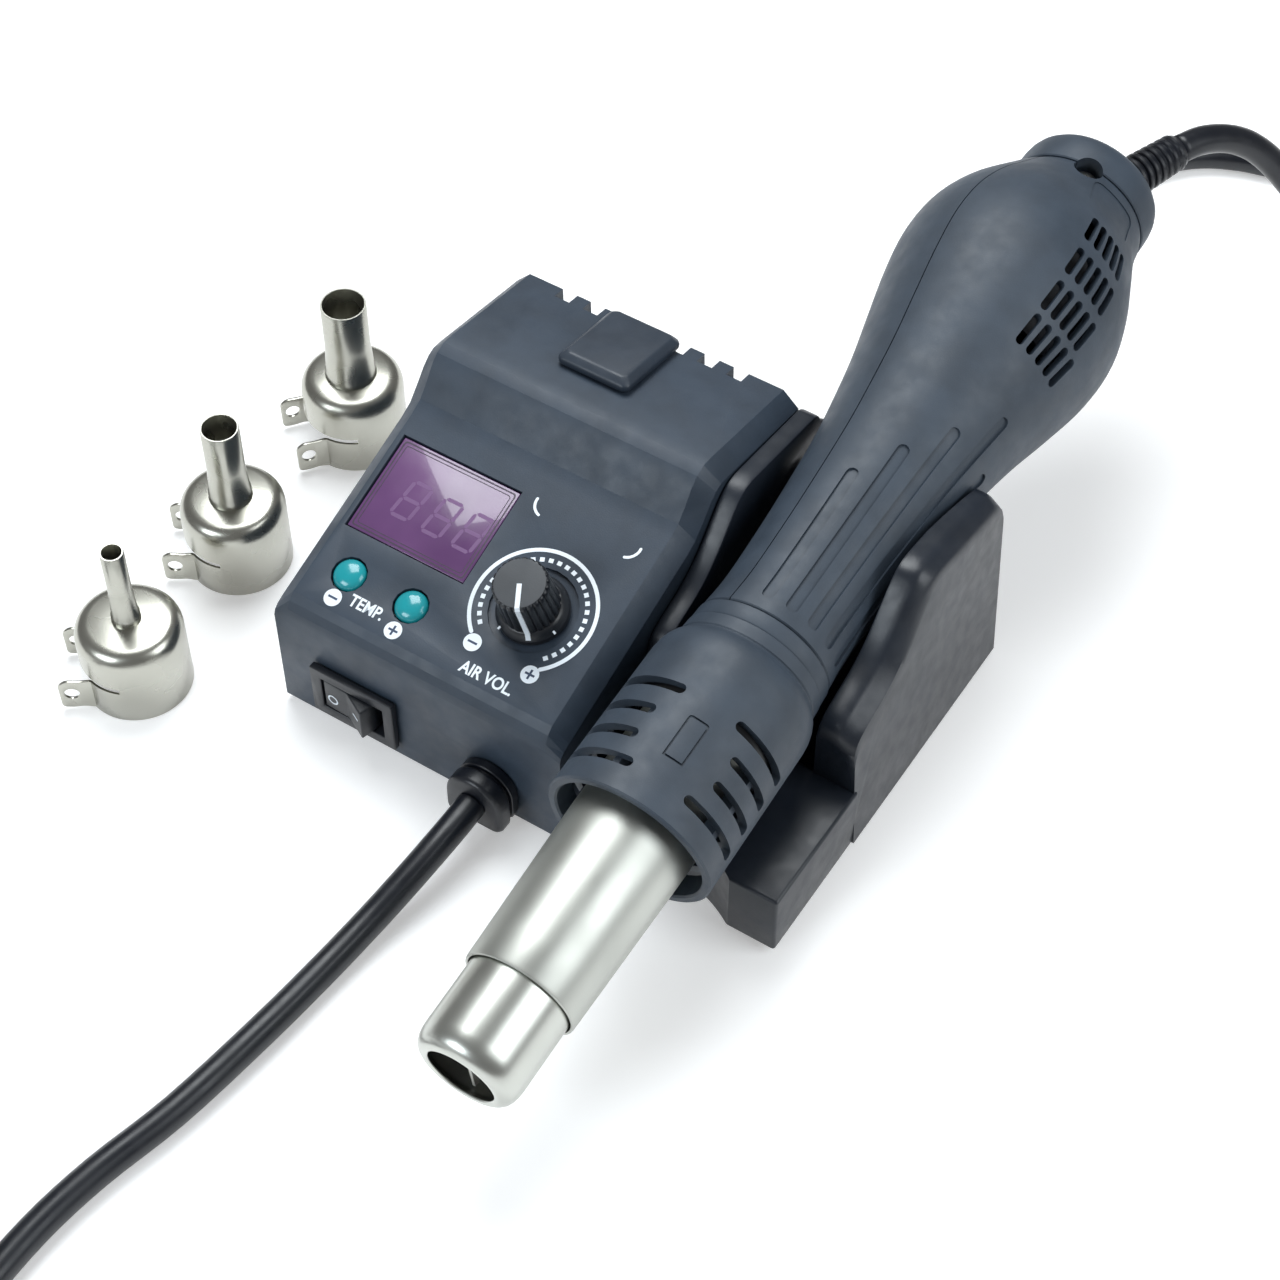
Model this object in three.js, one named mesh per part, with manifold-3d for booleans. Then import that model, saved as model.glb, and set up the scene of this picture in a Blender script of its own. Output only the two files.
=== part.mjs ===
// Hot air rework station: a sloped control unit with a handle cradle on its right side,
// a hot air handle lying in the cradle, and three loose nozzles.
// Millimetres, +Z up, front of the station towards -Y, cradle on the +X side.
import * as THREE from "three";
import { mergeVertices } from "three/addons/utils/BufferGeometryUtils.js";
import Module from "manifold-3d";

const wasm = await Module();
wasm.setup();

// ---------------------------------------------------------------- driving dimensions
const STATION_W = 71.2;
const STATION_D = 92;
const FOOT_H = 1.5;
const WALL = 2.2;
const GAP = 0.3;
const BEVEL_W = 3.6;
const PANEL_SLOPE = THREE.MathUtils.degToRad(18.2);
const PANEL_FRONT_Y = 1.5;
const PANEL_FRONT_Z = 34.67;
const TOP_SLOPE = THREE.MathUtils.degToRad(11.4);
const TOP_Y = 61.8;
const TOP_Z = 59.5;
const REAR_TOP_Y = STATION_D - 1.4;
const REAR_TOP_Z = TOP_Z - (REAR_TOP_Y - TOP_Y) * Math.tan(TOP_SLOPE);

const WINDOW = { x0: 4.8, x1: 34.7, s0: 19.1, s1: 42.3 };
const DIAL_X = 50.8;
const DIAL_S = 21.0;
const DIAL_RECESS_R = 9.5;
const DIAL_RECESS_DEPTH = 0.8;
const KNOB_TOP_H = 13.2;
const POINTER_ANGLE = THREE.MathUtils.degToRad(-63);
const BUTTON_R = 3.6;
const BUTTON_S = 10.05;
const BUTTON_X = { minus: 12.1, plus: 27.6 };
const BOARD_H = -9.7;
const NOTCH_COUNT = 7;
const NOTCH_X0 = 12.2;
const NOTCH_PITCH = 7.2;
const NOTCH_W = 3.75;

const SWITCH = { x0: 9.4, x1: 30.4, z0: 4.9, z1: 19.4 };
const ROCKER_TILT = THREE.MathUtils.degToRad(-15);
const ROCKER_PIVOT_Y = 2.5;
const MAINS_D = 6.4;
const MAINS_X = 53.9;
const MAINS_Z = 10;
const CABLE_D = 6.5;
const GLAND_X = 45;
const GLAND_Z = 11;

const CRADLE_X0 = STATION_W + GAP;
const CRADLE_LEFT_IN = CRADLE_X0 + 4.3;
const CRADLE_RIGHT_IN = CRADLE_X0 + 39.9;
const CRADLE_CREST_X = CRADLE_X0 + 44.3;
const CRADLE_X1 = CRADLE_X0 + 50.5;
const CRADLE_FRONT_Y = 0.6;
const SHELF_TOP = 18.5;
const SHELF_REAR_Y = 31.8;
const CRADLE_REAR_Y = STATION_D + 0.8;

const HANDLE_X = CRADLE_X0 + 23.5;
const HANDLE_Z = 36.2;
const HANDLE_TILT = THREE.MathUtils.degToRad(6.67);
const SEAM_ANGLE = 119;
const SHELL_WALL = 2;
const CRADLE_CLEARANCE = 0.5;
const NOZZLE_BORE_R = 11.1;

// ---------------------------------------------------------------- materials
function material(color, roughness, metalness = 0) {
  return new THREE.MeshStandardMaterial({ color, roughness, metalness });
}
const HOUSING = material(0x3a3f45, 0.6);
const CRADLE = material(0x26292c, 0.35);
const HANDLE = material(0x45494e, 0.65);
const RUBBER = material(0x1c1d1f, 0.8);
const STEEL = material(0xb9b6ac, 0.3, 1);
const NICKEL = material(0xc9c5b4, 0.2, 1);
const CERAMIC = material(0xcfc8b8, 0.8);
const BOARD = material(0x1d5b3a, 0.6);
const TEAL = material(0x1f9aa6, 0.3);
const LENS = material(0x7b5a86, 0.15);

// ---------------------------------------------------------------- solids
const root = new THREE.Group();
root.name = "hot_air_station";

function addPart(name, body, look) {
  const mesh = new THREE.Mesh(geometryOf(body), look);
  mesh.name = name;
  root.add(mesh);
}

function geometryOf(body) {
  const mesh = body.getMesh();
  const points = new Float32Array(mesh.numVert * 3);
  for (let i = 0; i < mesh.numVert; i++) {
    for (let k = 0; k < 3; k++) points[3 * i + k] = mesh.vertProperties[mesh.numProp * i + k];
  }
  const geometry = new THREE.BufferGeometry();
  geometry.setAttribute("position", new THREE.BufferAttribute(points, 3));
  geometry.setIndex(Array.from(mesh.triVerts));
  geometry.computeVertexNormals();
  return geometry;
}

// A closed three.js geometry as a solid, its faces turned outwards.
function solid(geometry, matrix = new THREE.Matrix4()) {
  const placed = geometry.clone().applyMatrix4(matrix);
  placed.deleteAttribute("normal");
  placed.deleteAttribute("uv");
  const merged = mergeVertices(placed, 1e-4);
  const p = merged.attributes.position;
  const index = Array.from(merged.index.array);
  let faces = [];
  let volume = 0;
  const a = new THREE.Vector3();
  const b = new THREE.Vector3();
  const c = new THREE.Vector3();
  for (let i = 0; i < index.length; i += 3) {
    const [u, v, w] = index.slice(i, i + 3);
    if (u === v || v === w || w === u) continue;
    faces.push(u, v, w);
    a.fromBufferAttribute(p, u);
    b.fromBufferAttribute(p, v);
    c.fromBufferAttribute(p, w);
    volume += a.dot(b.cross(c));
  }
  if (volume < 0) faces = faces.reverse();
  const vertProperties = new Float32Array(p.array);
  return new wasm.Manifold(
    new wasm.Mesh({ numProp: 3, vertProperties, triVerts: new Uint32Array(faces) }),
  );
}

const join = (...bodies) => bodies.reduce((sum, body) => sum.add(body));
const cut = (body, ...tools) => tools.reduce((rest, tool) => rest.subtract(tool), body);

function box(x0, x1, y0, y1, z0, z1, matrix) {
  const geometry = new THREE.BoxGeometry(x1 - x0, y1 - y0, z1 - z0);
  geometry.translate((x0 + x1) / 2, (y0 + y1) / 2, (z0 + z1) / 2);
  return solid(geometry, matrix);
}

function vectors(points) {
  return points.map(([x, y]) => new THREE.Vector2(x, y));
}

// Outline in the XY plane of a frame, carried from z0 to z1.
function prism(points, z0, z1, matrix) {
  const shape = new THREE.Shape(vectors(points));
  const geometry = new THREE.ExtrudeGeometry(shape, {
    depth: z1 - z0,
    bevelEnabled: false,
    curveSegments: 1,
  });
  geometry.translate(0, 0, z0);
  return solid(geometry, matrix);
}

// Closed [radius, z] profile turned about the Z axis of a frame.
function turned(profile, segments, matrix) {
  const loop = vectors([...profile, profile[0]]);
  const geometry = new THREE.LatheGeometry(loop, segments);
  geometry.rotateX(Math.PI / 2);
  return solid(geometry, matrix);
}

function cylinder(r, z0, z1, segments, matrix) {
  return turned([[0, z0], [r, z0], [r, z1], [0, z1]], segments, matrix);
}

// Skin through rings with the same number of points, closed by flat ends.
function loft(rings, matrix) {
  const n = rings[0].length;
  const positions = rings.flat().flatMap((p) => [p.x, p.y, p.z]);
  const index = [];
  for (let r = 0; r + 1 < rings.length; r++) {
    for (let i = 0; i < n; i++) {
      const j = (i + 1) % n;
      const [a, b, c, d] = [r * n + i, r * n + j, (r + 1) * n + j, (r + 1) * n + i];
      index.push(a, b, c, a, c, d);
    }
  }
  const ends = endFaces(rings[0]);
  const last = (rings.length - 1) * n;
  for (const [a, b, c] of ends) {
    index.push(c, b, a);
    index.push(last + a, last + b, last + c);
  }
  const geometry = new THREE.BufferGeometry();
  geometry.setAttribute("position", new THREE.Float32BufferAttribute(positions, 3));
  geometry.setIndex(index);
  return solid(geometry, matrix);
}

// Triangles over a flat ring, wound like the ring itself.
function endFaces(ring) {
  const normal = new THREE.Vector3();
  ring.forEach((p, i) => normal.add(p.clone().cross(ring[(i + 1) % ring.length])));
  normal.normalize();
  const u = ring[1].clone().sub(ring[0]).projectOnPlane(normal).normalize();
  const v = normal.clone().cross(u);
  const flat = ring.map((p) => new THREE.Vector2(p.dot(u), p.dot(v)));
  return THREE.ShapeUtils.triangulateShape(flat, []);
}

// A frame from two of its axes and its origin; the third axis is x cross y.
function frame(origin, x, y) {
  const xAxis = new THREE.Vector3(...x).normalize();
  const yAxis = new THREE.Vector3(...y).normalize();
  const zAxis = xAxis.clone().cross(yAxis);
  return new THREE.Matrix4().makeBasis(xAxis, yAxis, zAxis).setPosition(...origin);
}

function moved(matrix, x, y, z, turn = 0) {
  const local = new THREE.Matrix4().makeRotationZ(turn).setPosition(x, y, z);
  return matrix.clone().multiply(local);
}

const WORLD = new THREE.Matrix4();
const [SIN_P, COS_P] = [Math.sin(PANEL_SLOPE), Math.cos(PANEL_SLOPE)];
const PANEL = frame([0, PANEL_FRONT_Y, PANEL_FRONT_Z], [1, 0, 0], [0, COS_P, SIN_P]);
const TOP = frame([0, TOP_Y, TOP_Z], [1, 0, 0], [0, Math.cos(TOP_SLOPE), -Math.sin(TOP_SLOPE)]);
const SIDE = frame([0, 0, 0], [0, 1, 0], [0, 0, 1]);
const FRONT = frame([0, 0, 0], [1, 0, 0], [0, 0, 1]);

// Regular outline of n points; a stadium outline along its own X.
function circlePoints(r, n, phase = 0) {
  return Array.from({ length: n }, (_, i) => {
    const a = phase + (2 * Math.PI * i) / n;
    return [r * Math.cos(a), r * Math.sin(a)];
  });
}

function stadium(length, width, arc = 3) {
  const r = width / 2;
  const reach = length / 2 - r;
  const points = [];
  for (const side of [1, -1]) {
    for (let i = 0; i <= arc; i++) {
      const a = -Math.PI / 2 + (Math.PI * i) / arc;
      points.push([side * (reach + r * Math.cos(a)), side * r * Math.sin(a)]);
    }
  }
  return points;
}

// Closed outline moved inwards by d.
function inset(points, d) {
  const n = points.length;
  const turn = Math.sign(THREE.ShapeUtils.area(vectors(points)));
  return points.map((p, i) => {
    const q = points[(i + n - 1) % n];
    const r = points[(i + 1) % n];
    const e1 = new THREE.Vector2(p[0] - q[0], p[1] - q[1]).normalize();
    const e2 = new THREE.Vector2(r[0] - p[0], r[1] - p[1]).normalize();
    const n1 = new THREE.Vector2(-e1.y, e1.x).multiplyScalar(turn);
    const n2 = new THREE.Vector2(-e2.y, e2.x).multiplyScalar(turn);
    const scale = d / (1 + n1.dot(n2));
    return [p[0] + (n1.x + n2.x) * scale, p[1] + (n1.y + n2.y) * scale];
  });
}

// ---------------------------------------------------------------- housing
// Side view (y, z): the crest runs between the bevels, the edge is the lower rim at x = 0.
const CREST = [
  [0, FOOT_H], [0, 29.6], [0.4, 31.8], [1.4, 33.6], [2.9, 35.1], [46.4, 49.4], [49.4, 50.9],
  [52, 53.9], [54.2, 57], [56.3, 58.9], [58.8, 59.8], [TOP_Y, TOP_Z], [REAR_TOP_Y, REAR_TOP_Z],
  [STATION_D, FOOT_H],
];
const EDGE = [
  [0, FOOT_H], [0, 28.2], [0.4, 29.4], [1.5, 30.4], [3.4, 31.2], [47.3, 45.6], [50.3, 47.1],
  [53.3, 50.2], [55.8, 53.1], [57.9, 54.8], [59.8, 55.5], [62.5, 55.2],
  [REAR_TOP_Y + 0.4, REAR_TOP_Z - 4],
  [STATION_D, FOOT_H],
];

function ringAt(x, points) {
  return points.map(([y, z]) => new THREE.Vector3(x, y, z));
}

function housingCavity() {
  const opened = (points) => inset(points, WALL).map(([y, z], i, all) => {
    const atBottom = i === 0 || i === all.length - 1;
    return [y, atBottom ? -1 : z];
  });
  const crest = opened(CREST);
  const edge = opened(EDGE);
  const w = STATION_W;
  return loft([
    ringAt(WALL, edge), ringAt(BEVEL_W + 1.6, crest),
    ringAt(w - BEVEL_W - 1.6, crest), ringAt(w - WALL, edge),
  ]);
}

function housingOuter() {
  const w = STATION_W;
  return loft([
    ringAt(0, EDGE), ringAt(BEVEL_W, CREST), ringAt(w - BEVEL_W, CREST), ringAt(w, EDGE),
  ]);
}

const CORNERS = [
  [6.3, 6.3], [STATION_W - 6.3, 6.3], [6.3, STATION_D - 6.5], [STATION_W - 6.3, STATION_D - 6.5],
];
const BOARD_POSTS = [[38, 7], [38, 41], [64, 7], [64, 41]];

function housing() {
  const outer = housingOuter();
  let posts = [];
  for (const [x, y] of CORNERS) posts.push(cylinder(4.2, 4.1, 18, 8, moved(WORLD, x, y, 0)));
  for (const [x, s] of BOARD_POSTS) {
    posts.push(cylinder(2, BOARD_H + GAP, -1, 8, moved(PANEL, x, s, 0)));
  }
  const inner = join(...posts).intersect(outer);
  let body = join(cut(outer, housingCavity()), inner);
  for (const [x, y] of CORNERS) body = cut(body, cylinder(1.5, 0, 16, 8, moved(WORLD, x, y, 0)));
  body = cut(body, box(WINDOW.x0, WINDOW.x1, WINDOW.s0, WINDOW.s1, -6, 3, PANEL));
  const dial = moved(PANEL, DIAL_X, DIAL_S, 0);
  body = cut(body, cylinder(DIAL_RECESS_R, -DIAL_RECESS_DEPTH, 2, 24, dial));
  body = cut(body, cylinder(3.8, -6, 2, 12, dial));
  for (const x of Object.values(BUTTON_X)) {
    body = cut(body, cylinder(BUTTON_R + 1.3 * GAP, -5, 2, 14, moved(PANEL, x, BUTTON_S, 0)));
  }
  for (let i = 0; i < NOTCH_COUNT; i++) {
    const x = NOTCH_X0 + NOTCH_PITCH * i;
    body = cut(body, box(x, x + NOTCH_W, STATION_D - 4.7, STATION_D + 7, 30, 70));
  }
  body = cut(body, box(SWITCH.x0 + 1.3, SWITCH.x1 - 0.9, -2, 4, SWITCH.z0 + 0.9, SWITCH.z1 - 0.9));
  body = cut(body, cylinder(5.1, -6, 2, 14, moved(FRONT, MAINS_X, MAINS_Z, 0)));
  body = cut(body, cylinder(5.1, -STATION_D - 7, 8 - STATION_D, 14, moved(FRONT, GLAND_X, GLAND_Z, 0)));
  for (const [y, z] of CRADLE_SCREWS) {
    body = cut(body, cylinder(1.8, CRADLE_X0 - 11.5, CRADLE_X0 + 8.5, 10, moved(SIDE, y, z, 0)));
  }
  return body;
}

function baseParts() {
  const w = STATION_W;
  let plate = box(WALL + GAP, w - WALL - GAP, WALL + GAP, STATION_D - WALL - GAP - 0.1, 1.8, 3.8);
  for (const [x, y] of POWER_POSTS) {
    plate = join(plate, cylinder(2.2, 3, 6.7, 8, moved(WORLD, x, y, 0)));
  }
  CORNERS.forEach(([x, y], i) => {
    const at = moved(WORLD, x, y, 0);
    plate = cut(plate, cylinder(1.6, 0, 5, 8, at), cylinder(3, 0, 2.9, 8, at));
    const screw = join(cylinder(2.7, 2, 2.6, 8, at), cylinder(1.2, 2.5, 12, 8, at));
    addPart(`base_screw_${i + 1}`, screw, STEEL);
  });
  addPart("base_plate", plate, HOUSING);
  const feet = [[14, 12], [w - 14, 12], [14, STATION_D - 14], [w - 14, STATION_D - 14]];
  feet.forEach(([x, y], i) => {
    const profile = [[0, 0], [4, 0], [4.6, 0.5], [4.6, FOOT_H], [0, FOOT_H]];
    addPart(`foot_${i + 1}`, turned(profile, 12, moved(WORLD, x, y, 0)), RUBBER);
  });
}

const POWER_POSTS = [[16, 30], [54, 30], [16, 76], [54, 76]];

function powerBoard() {
  const plate = box(12, 59, 26, 80, 7, 8.6);
  const relay = box(16, 32, 58, 72, 8.5, 24);
  const converter = box(38, 56, 50, 72, 8.5, 26);
  const capacitor = cylinder(5, 8.5, 26, 14, moved(WORLD, 24, 44, 0));
  const heatsink = box(40, 52, 34, 37, 8.5, 24);
  return join(plate, relay, converter, capacitor, heatsink);
}

function topPad() {
  const outline = (m, h) => [
    [25.9 + m, 6.5], [26.9 + m, 5.5 + m], [42.5 - m, 5.5 + m], [43.5 - m, 6.5],
    [43.5 - m, 26.5 - m], [42.5 - m, 27.5 - m], [26.9 + m, 27.5 - m], [25.9 + m, 26.5 - m],
  ].map(([x, u], i) => new THREE.Vector3(x, i === 0 || i === 3 ? u + m : u, h));
  return loft([outline(0.5, GAP), outline(0, 0.9), outline(0, 2.1), outline(1.4, 3.5)], TOP);
}

// ---------------------------------------------------------------- control panel
function panelParts() {
  const { x0, x1, s0, s1 } = WINDOW;
  const g = GAP;
  addPart("display_window", box(x0 + g, x1 - g, s0 + g, s1 - g, 0.1 - WALL, -0.5, PANEL), LENS);
  const module = box(x0 + 1, x1 + 0.8, s0 - 0.8, s1 + 0.8, BOARD_H + g, -WALL - g, PANEL);
  addPart("display_module", module, RUBBER);
  addPart("control_board", box(4.5, STATION_W - 4.5, 4, 45, BOARD_H - 1.6, BOARD_H, PANEL), BOARD);
  addPart("power_board", powerBoard(), BOARD);
  const dial = moved(PANEL, DIAL_X, DIAL_S, 0);
  const pot = cut(cylinder(8, BOARD_H + g, -WALL - g, 16, dial), cylinder(3.45, -6, 0, 12, dial));
  addPart("pot_body", pot, STEEL);
  addPart("pot_shaft", cylinder(3, -5.6, 9, 12, dial), STEEL);
  addPart("knob", knob(dial), RUBBER);
  for (const [name, x] of Object.entries(BUTTON_X)) {
    const at = moved(PANEL, x, BUTTON_S, 0);
    addPart(`button_${name}`, turned(BUTTON_PROFILE, 14, at), TEAL);
    addPart(`tact_switch_${name}`, box(-3, 3, -3, 3, BOARD_H + g, -8, at), RUBBER);
  }
}

const BUTTON_PROFILE = [
  [0, 1.35], [1.8, 1.15], [3.2, 0.5], [BUTTON_R, -0.2], [BUTTON_R, -WALL - GAP],
  [4.6, -WALL - GAP], [4.6, -3.4], [1.5, -3.4], [1.5, -6.9], [0, -6.9],
];

// Fluted grip on a round skirt; a raised pointer runs from the top centre down to the skirt.
function knob(dial) {
  const flutes = 12;
  const outline = (r, h) => Array.from({ length: flutes * 2 }, (_, i) => {
    const reach = i % 2 ? r - 0.4 : r;
    const a = (Math.PI * i) / flutes;
    return new THREE.Vector3(reach * Math.cos(a), reach * Math.sin(a), h);
  });
  const grip = loft([outline(6.3, 1.5), outline(5.9, 12.4), outline(5.5, KNOB_TOP_H)], dial);
  const skirt = turned([[0, -0.5], [7.7, -0.5], [7.7, 0.9], [6.6, 2.6], [0, 2.6]], 20, dial);
  const along = moved(PANEL, DIAL_X, DIAL_S, 0, POINTER_ANGLE);
  const side = [[-0.5, 12], [5.4, 12], [5.4, 1], [7.5, 1], [7.3, 2.2], [6.35, 13], [5.7, 13.55],
    [-0.5, 13.55]];
  const upright = along.clone().multiply(frame([0, 0.6, 0], [1, 0, 0], [0, 0, 1]));
  const pointer = prism(side, 0, 1.2, upright);
  const bore = cylinder(3 + 1.5 * GAP, -5, 9 + GAP, 12, dial);
  return cut(join(grip, skirt, pointer), bore);
}

// ---------------------------------------------------------------- power switch
function switchParts() {
  const { x0, x1, z0, z1 } = SWITCH;
  const midX = (x0 + x1) / 2;
  const midZ = (z0 + z1) / 2;
  const bezel = box(x0, x1, -2, -GAP, z0, z1);
  const can = box(x0 + 1.6, x1 - 1.2, -1, 16, z0 + 1.2, z1 - 1.2);
  const well = box(midX - 7.9, midX + 7.9, -5, 10, midZ - 4.6, midZ + 4.6);
  const pins = [-6, 0, 6].map((d) => box(midX + d - 0.4, midX + d + 0.4, 15, 23, midZ - 2.4,
    midZ + 2.4));
  addPart("switch_housing", join(cut(join(bezel, can), well), ...pins), RUBBER);
  const outline = [[-6.1, -6], [0, -4.6], [6.1, -6], [6.1, -2], [5, 1], [2, 4], [-2, 4], [-5, 1],
    [-6.1, -2]];
  const at = moved(WORLD, midX, ROCKER_PIVOT_Y, midZ, ROCKER_TILT);
  addPart("rocker", prism(outline, -4.3, 4.3, at), RUBBER);
}

// ---------------------------------------------------------------- cord bushes and cords
// A bush moulded on a cord: outer block, collar through the wall and a lock ring behind it.
function bush(at) {
  const behind = -WALL - 0.8;
  const collar = cylinder(4.6, behind - 2.4, 0.5, 12, at);
  const lock = turned([[0, behind - 2.4], [5.9, behind - 2.4], [5.6, behind], [0, behind]], 12, at);
  return join(stadiumBlock(at), collar, lock);
}

const BUSH_REACH = 7.2;

function stadiumBlock(at) {
  const r = 6.4;
  const points = circlePoints(r, 12).filter(([, v]) => v > -0.1);
  const outline = [...points, [-r, -4.6], [-r + 1.8, -r], [r - 1.8, -r], [r, -4.6]];
  const body = prism(outline, GAP, BUSH_REACH - 1, at);
  const smaller = outline.map(([u, v]) => [u * 0.86, v * 0.86]);
  return join(body, prism(smaller, BUSH_REACH - 1.2, BUSH_REACH, at));
}

// Round cord along chosen points, with flat ends.
function cord(points, d, steps) {
  const path = new THREE.CatmullRomCurve3(points.map((p) => new THREE.Vector3(...p)));
  const shape = new THREE.Shape(vectors(circlePoints(d / 2, 8)));
  return solid(new THREE.ExtrudeGeometry(shape, { steps, bevelEnabled: false, extrudePath: path }));
}

// Round coil of several turns lying on the floor, as one ring.
function coil(x, y, meanR, d, turnsHigh) {
  const tall = d * (1 + 0.85 * (turnsHigh - 1));
  const wide = d * 1.9;
  const profile = circlePoints(0.5, 8, Math.PI / 8).map(([u, v]) => [
    meanR + u * wide, tall / 2 + 0.05 + v * tall,
  ]);
  return turned(profile, 20, moved(WORLD, x, y, 0));
}

const MAINS_POINTS = [
  [MAINS_X, -BUSH_REACH - GAP, MAINS_Z], [MAINS_X, -13, 9.8], [MAINS_X - 0.6, -20.5, 8.7],
  [52.2, -29, 6.8], [50.7, -39, 4.6], [49.2, -52, 3.4], [47.4, -70, 3.4], [44.2, -93, 3.4],
  [39.9, -111.5, 3.4], [37.8, -127, 3.4], [37.7, -143, 3.4], [38.9, -160, 3.4],
];
const MAINS_COIL = { x: -6, y: -165, r: 36 };
const MAINS_TAIL = [
  [-50.9, -170, 3.4], [-51.3, -160.5, 3.5], [-51.7, -152, 4.4], [-51.9, -144.5, 5.8],
  [-52, -137.5, 6.9],
];
const CABLE_COIL = { x: 184, y: 276, r: 36 };
const RETURN_POINTS = [
  [152.2, 307.8, 3.5], [144.2, 299.2, 3.5], [136.4, 289.8, 3.5], [128.8, 280.3, 3.5],
  [120.4, 272, 3.5], [110.6, 267, 3.5], [100.4, 264.1, 3.5], [91.6, 259.6, 3.5],
  [84.6, 252.6, 3.5], [79.6, 243.6, 3.5], [76, 233, 3.5], [73.3, 221, 3.5],
  [72.4, 207.5, 3.5], [73.4, 193.5, 3.5], [75.2, 181, 3.5], [76.7, 171.5, 3.5], [77, 163, 3.5],
  [75.9, 154.3, 3.5], [72.8, 146.1, 3.5], [67.8, 138.9, 3.6], [61.1, 133, 4], [54.2, 127.1, 5],
  [49.2, 119.9, 7], [46, 111.7, 9.5], [GLAND_X, 105, 10.9], [GLAND_X, STATION_D + BUSH_REACH + GAP, GLAND_Z],
];

// The handle cable leaves the strain relief along its axis, droops and reaches the coil.
function cablePoints() {
  const z = new THREE.Vector3(...RELIEF_DIR).normalize();
  const along = (reach) => new THREE.Vector3(...RELIEF_START).addScaledVector(z, reach).toArray();
  return [
    along(RELIEF_LENGTH + GAP), along(RELIEF_LENGTH + 2.3), [109, 202.6, 58.8],
    [112.7, 208.3, 57], [116.6, 212.7, 54], [120.6, 215.9, 49.8], [124.7, 218.2, 44.8],
    [128.8, 220, 39.4], [132.8, 221.7, 34], [136.8, 223.4, 28.9], [140.7, 225.1, 23.8],
    [144.6, 226.8, 18.8], [149, 228.6, 13.9], [154.2, 230.2, 9.5], [160.4, 231.2, 6.3],
    [167.6, 231.7, 4.3], [175, 231.9, 3.6],
  ];
}

function cordParts() {
  const mainsAt = moved(FRONT, MAINS_X, MAINS_Z, 0);
  const back = frame([GLAND_X, STATION_D, GLAND_Z], [-1, 0, 0], [0, 0, 1]);
  addPart("cord_bush", bush(mainsAt), RUBBER);
  addPart("cable_gland", bush(back), RUBBER);
  addPart("mains_cord", cord(MAINS_POINTS, MAINS_D, 18), RUBBER);
  addPart("mains_coil", coil(MAINS_COIL.x, MAINS_COIL.y, MAINS_COIL.r, MAINS_D, 2), RUBBER);
  addPart("mains_tail", cord(MAINS_TAIL, MAINS_D, 8), RUBBER);
  addPart("mains_plug", plug(), RUBBER);
  addPart("handle_cable", cord(cablePoints(), CABLE_D, 16), RUBBER);
  addPart("cable_coil", coil(CABLE_COIL.x, CABLE_COIL.y, CABLE_COIL.r, CABLE_D, 2), RUBBER);
  addPart("return_cable", cord(RETURN_POINTS, CABLE_D, 26), RUBBER);
}

// Flat two-pin plug with a tapered neck, lying on the floor.
function plug() {
  const end = new THREE.Vector3(...MAINS_TAIL.at(-1));
  const before = new THREE.Vector3(...MAINS_TAIL.at(-2));
  const away = end.clone().sub(before).setZ(0).normalize();
  const across = new THREE.Vector3(-away.y, away.x, 0);
  const start = end.clone().addScaledVector(away, GAP + 0.5);
  const at = frame(start.toArray(), across.toArray(), [0, 0, 1]);
  const oval = (w, h, z) => circlePoints(1, 12).map(([u, v]) => {
    return new THREE.Vector3((u * w) / 2, (v * h) / 2, z);
  });
  const body = loft([
    oval(7.2, 7.2, 0), oval(9, 8.6, 22), oval(15, 11, 27), oval(17.5, 13, 40), oval(17, 13, 55),
  ], at);
  const pins = [-5.8, 5.8].map((d) => cylinder(2, 54, 73, 10, moved(at, d, 0, 0)));
  return join(body, ...pins);
}

// ---------------------------------------------------------------- cradle
const WALL_SIDE = [
  [SHELF_REAR_Y, FOOT_H], [SHELF_REAR_Y, 31.5], [32.6, 34.2], [35, 36.3], [43, 38.9], [47.5, 41],
  [51.8, 44.6], [55.5, 48.6], [58.6, 52.2], [61.3, 54.2], [64.5, 54.5],
  [CRADLE_REAR_Y - 4.3, 50.4], [CRADLE_REAR_Y - 1.4, 49.6], [CRADLE_REAR_Y, 47.4],
  [CRADLE_REAR_Y, FOOT_H],
];
const WALL_OUTER_SIDE = [
  [SHELF_REAR_Y, FOOT_H], [SHELF_REAR_Y, 29.5], [33.4, 32.4], [36.2, 33.6], [44.4, 36.2],
  [49.2, 38.4], [53.8, 42.2], [57.4, 46.2], [60.3, 49.6], [62.4, 51.3], [64.9, 51.6],
  [CRADLE_REAR_Y - 4.8, 47.4], [CRADLE_REAR_Y - 1.7, 46.6], [CRADLE_REAR_Y, 44.4],
  [CRADLE_REAR_Y, FOOT_H],
];
const CRADLE_SCREWS = [[38, 22], [46, 13]];

// Outer side of the right wall leans in slightly towards its top.
function leaning(points) {
  return points.map(([y, z]) => {
    return new THREE.Vector3(CRADLE_X1 - 0.055 * (z - FOOT_H), y, z);
  });
}

// Everything the handle sweeps when it is lifted straight out of the cradle.
function handleSweep() {
  const stations = [[-30, 18.7], ...GUARD_OUTLINE, ...SHELL_STATIONS.slice(2).map(([t, r]) => [t, r])]
    .filter(([t]) => t < 125);
  const grown = stations.map(([t, r]) => [r + CRADLE_CLEARANCE, t]);
  const profile = [[0, grown[0][1]], ...grown, [0, grown.at(-1)[1]]];
  const bodyTool = turned(profile, 24, HANDLE_FRAME);
  const plan = [
    ...grown.map(([r, t]) => [r, t]),
    ...[...grown].reverse().map(([r, t]) => [-r, t]),
  ];
  const upward = HANDLE_FRAME.clone().multiply(frame([0, 0, 0], [0, 1, 0], [0, 0, 1]));
  return join(bodyTool, prism(plan, 0, 70, upward));
}

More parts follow.
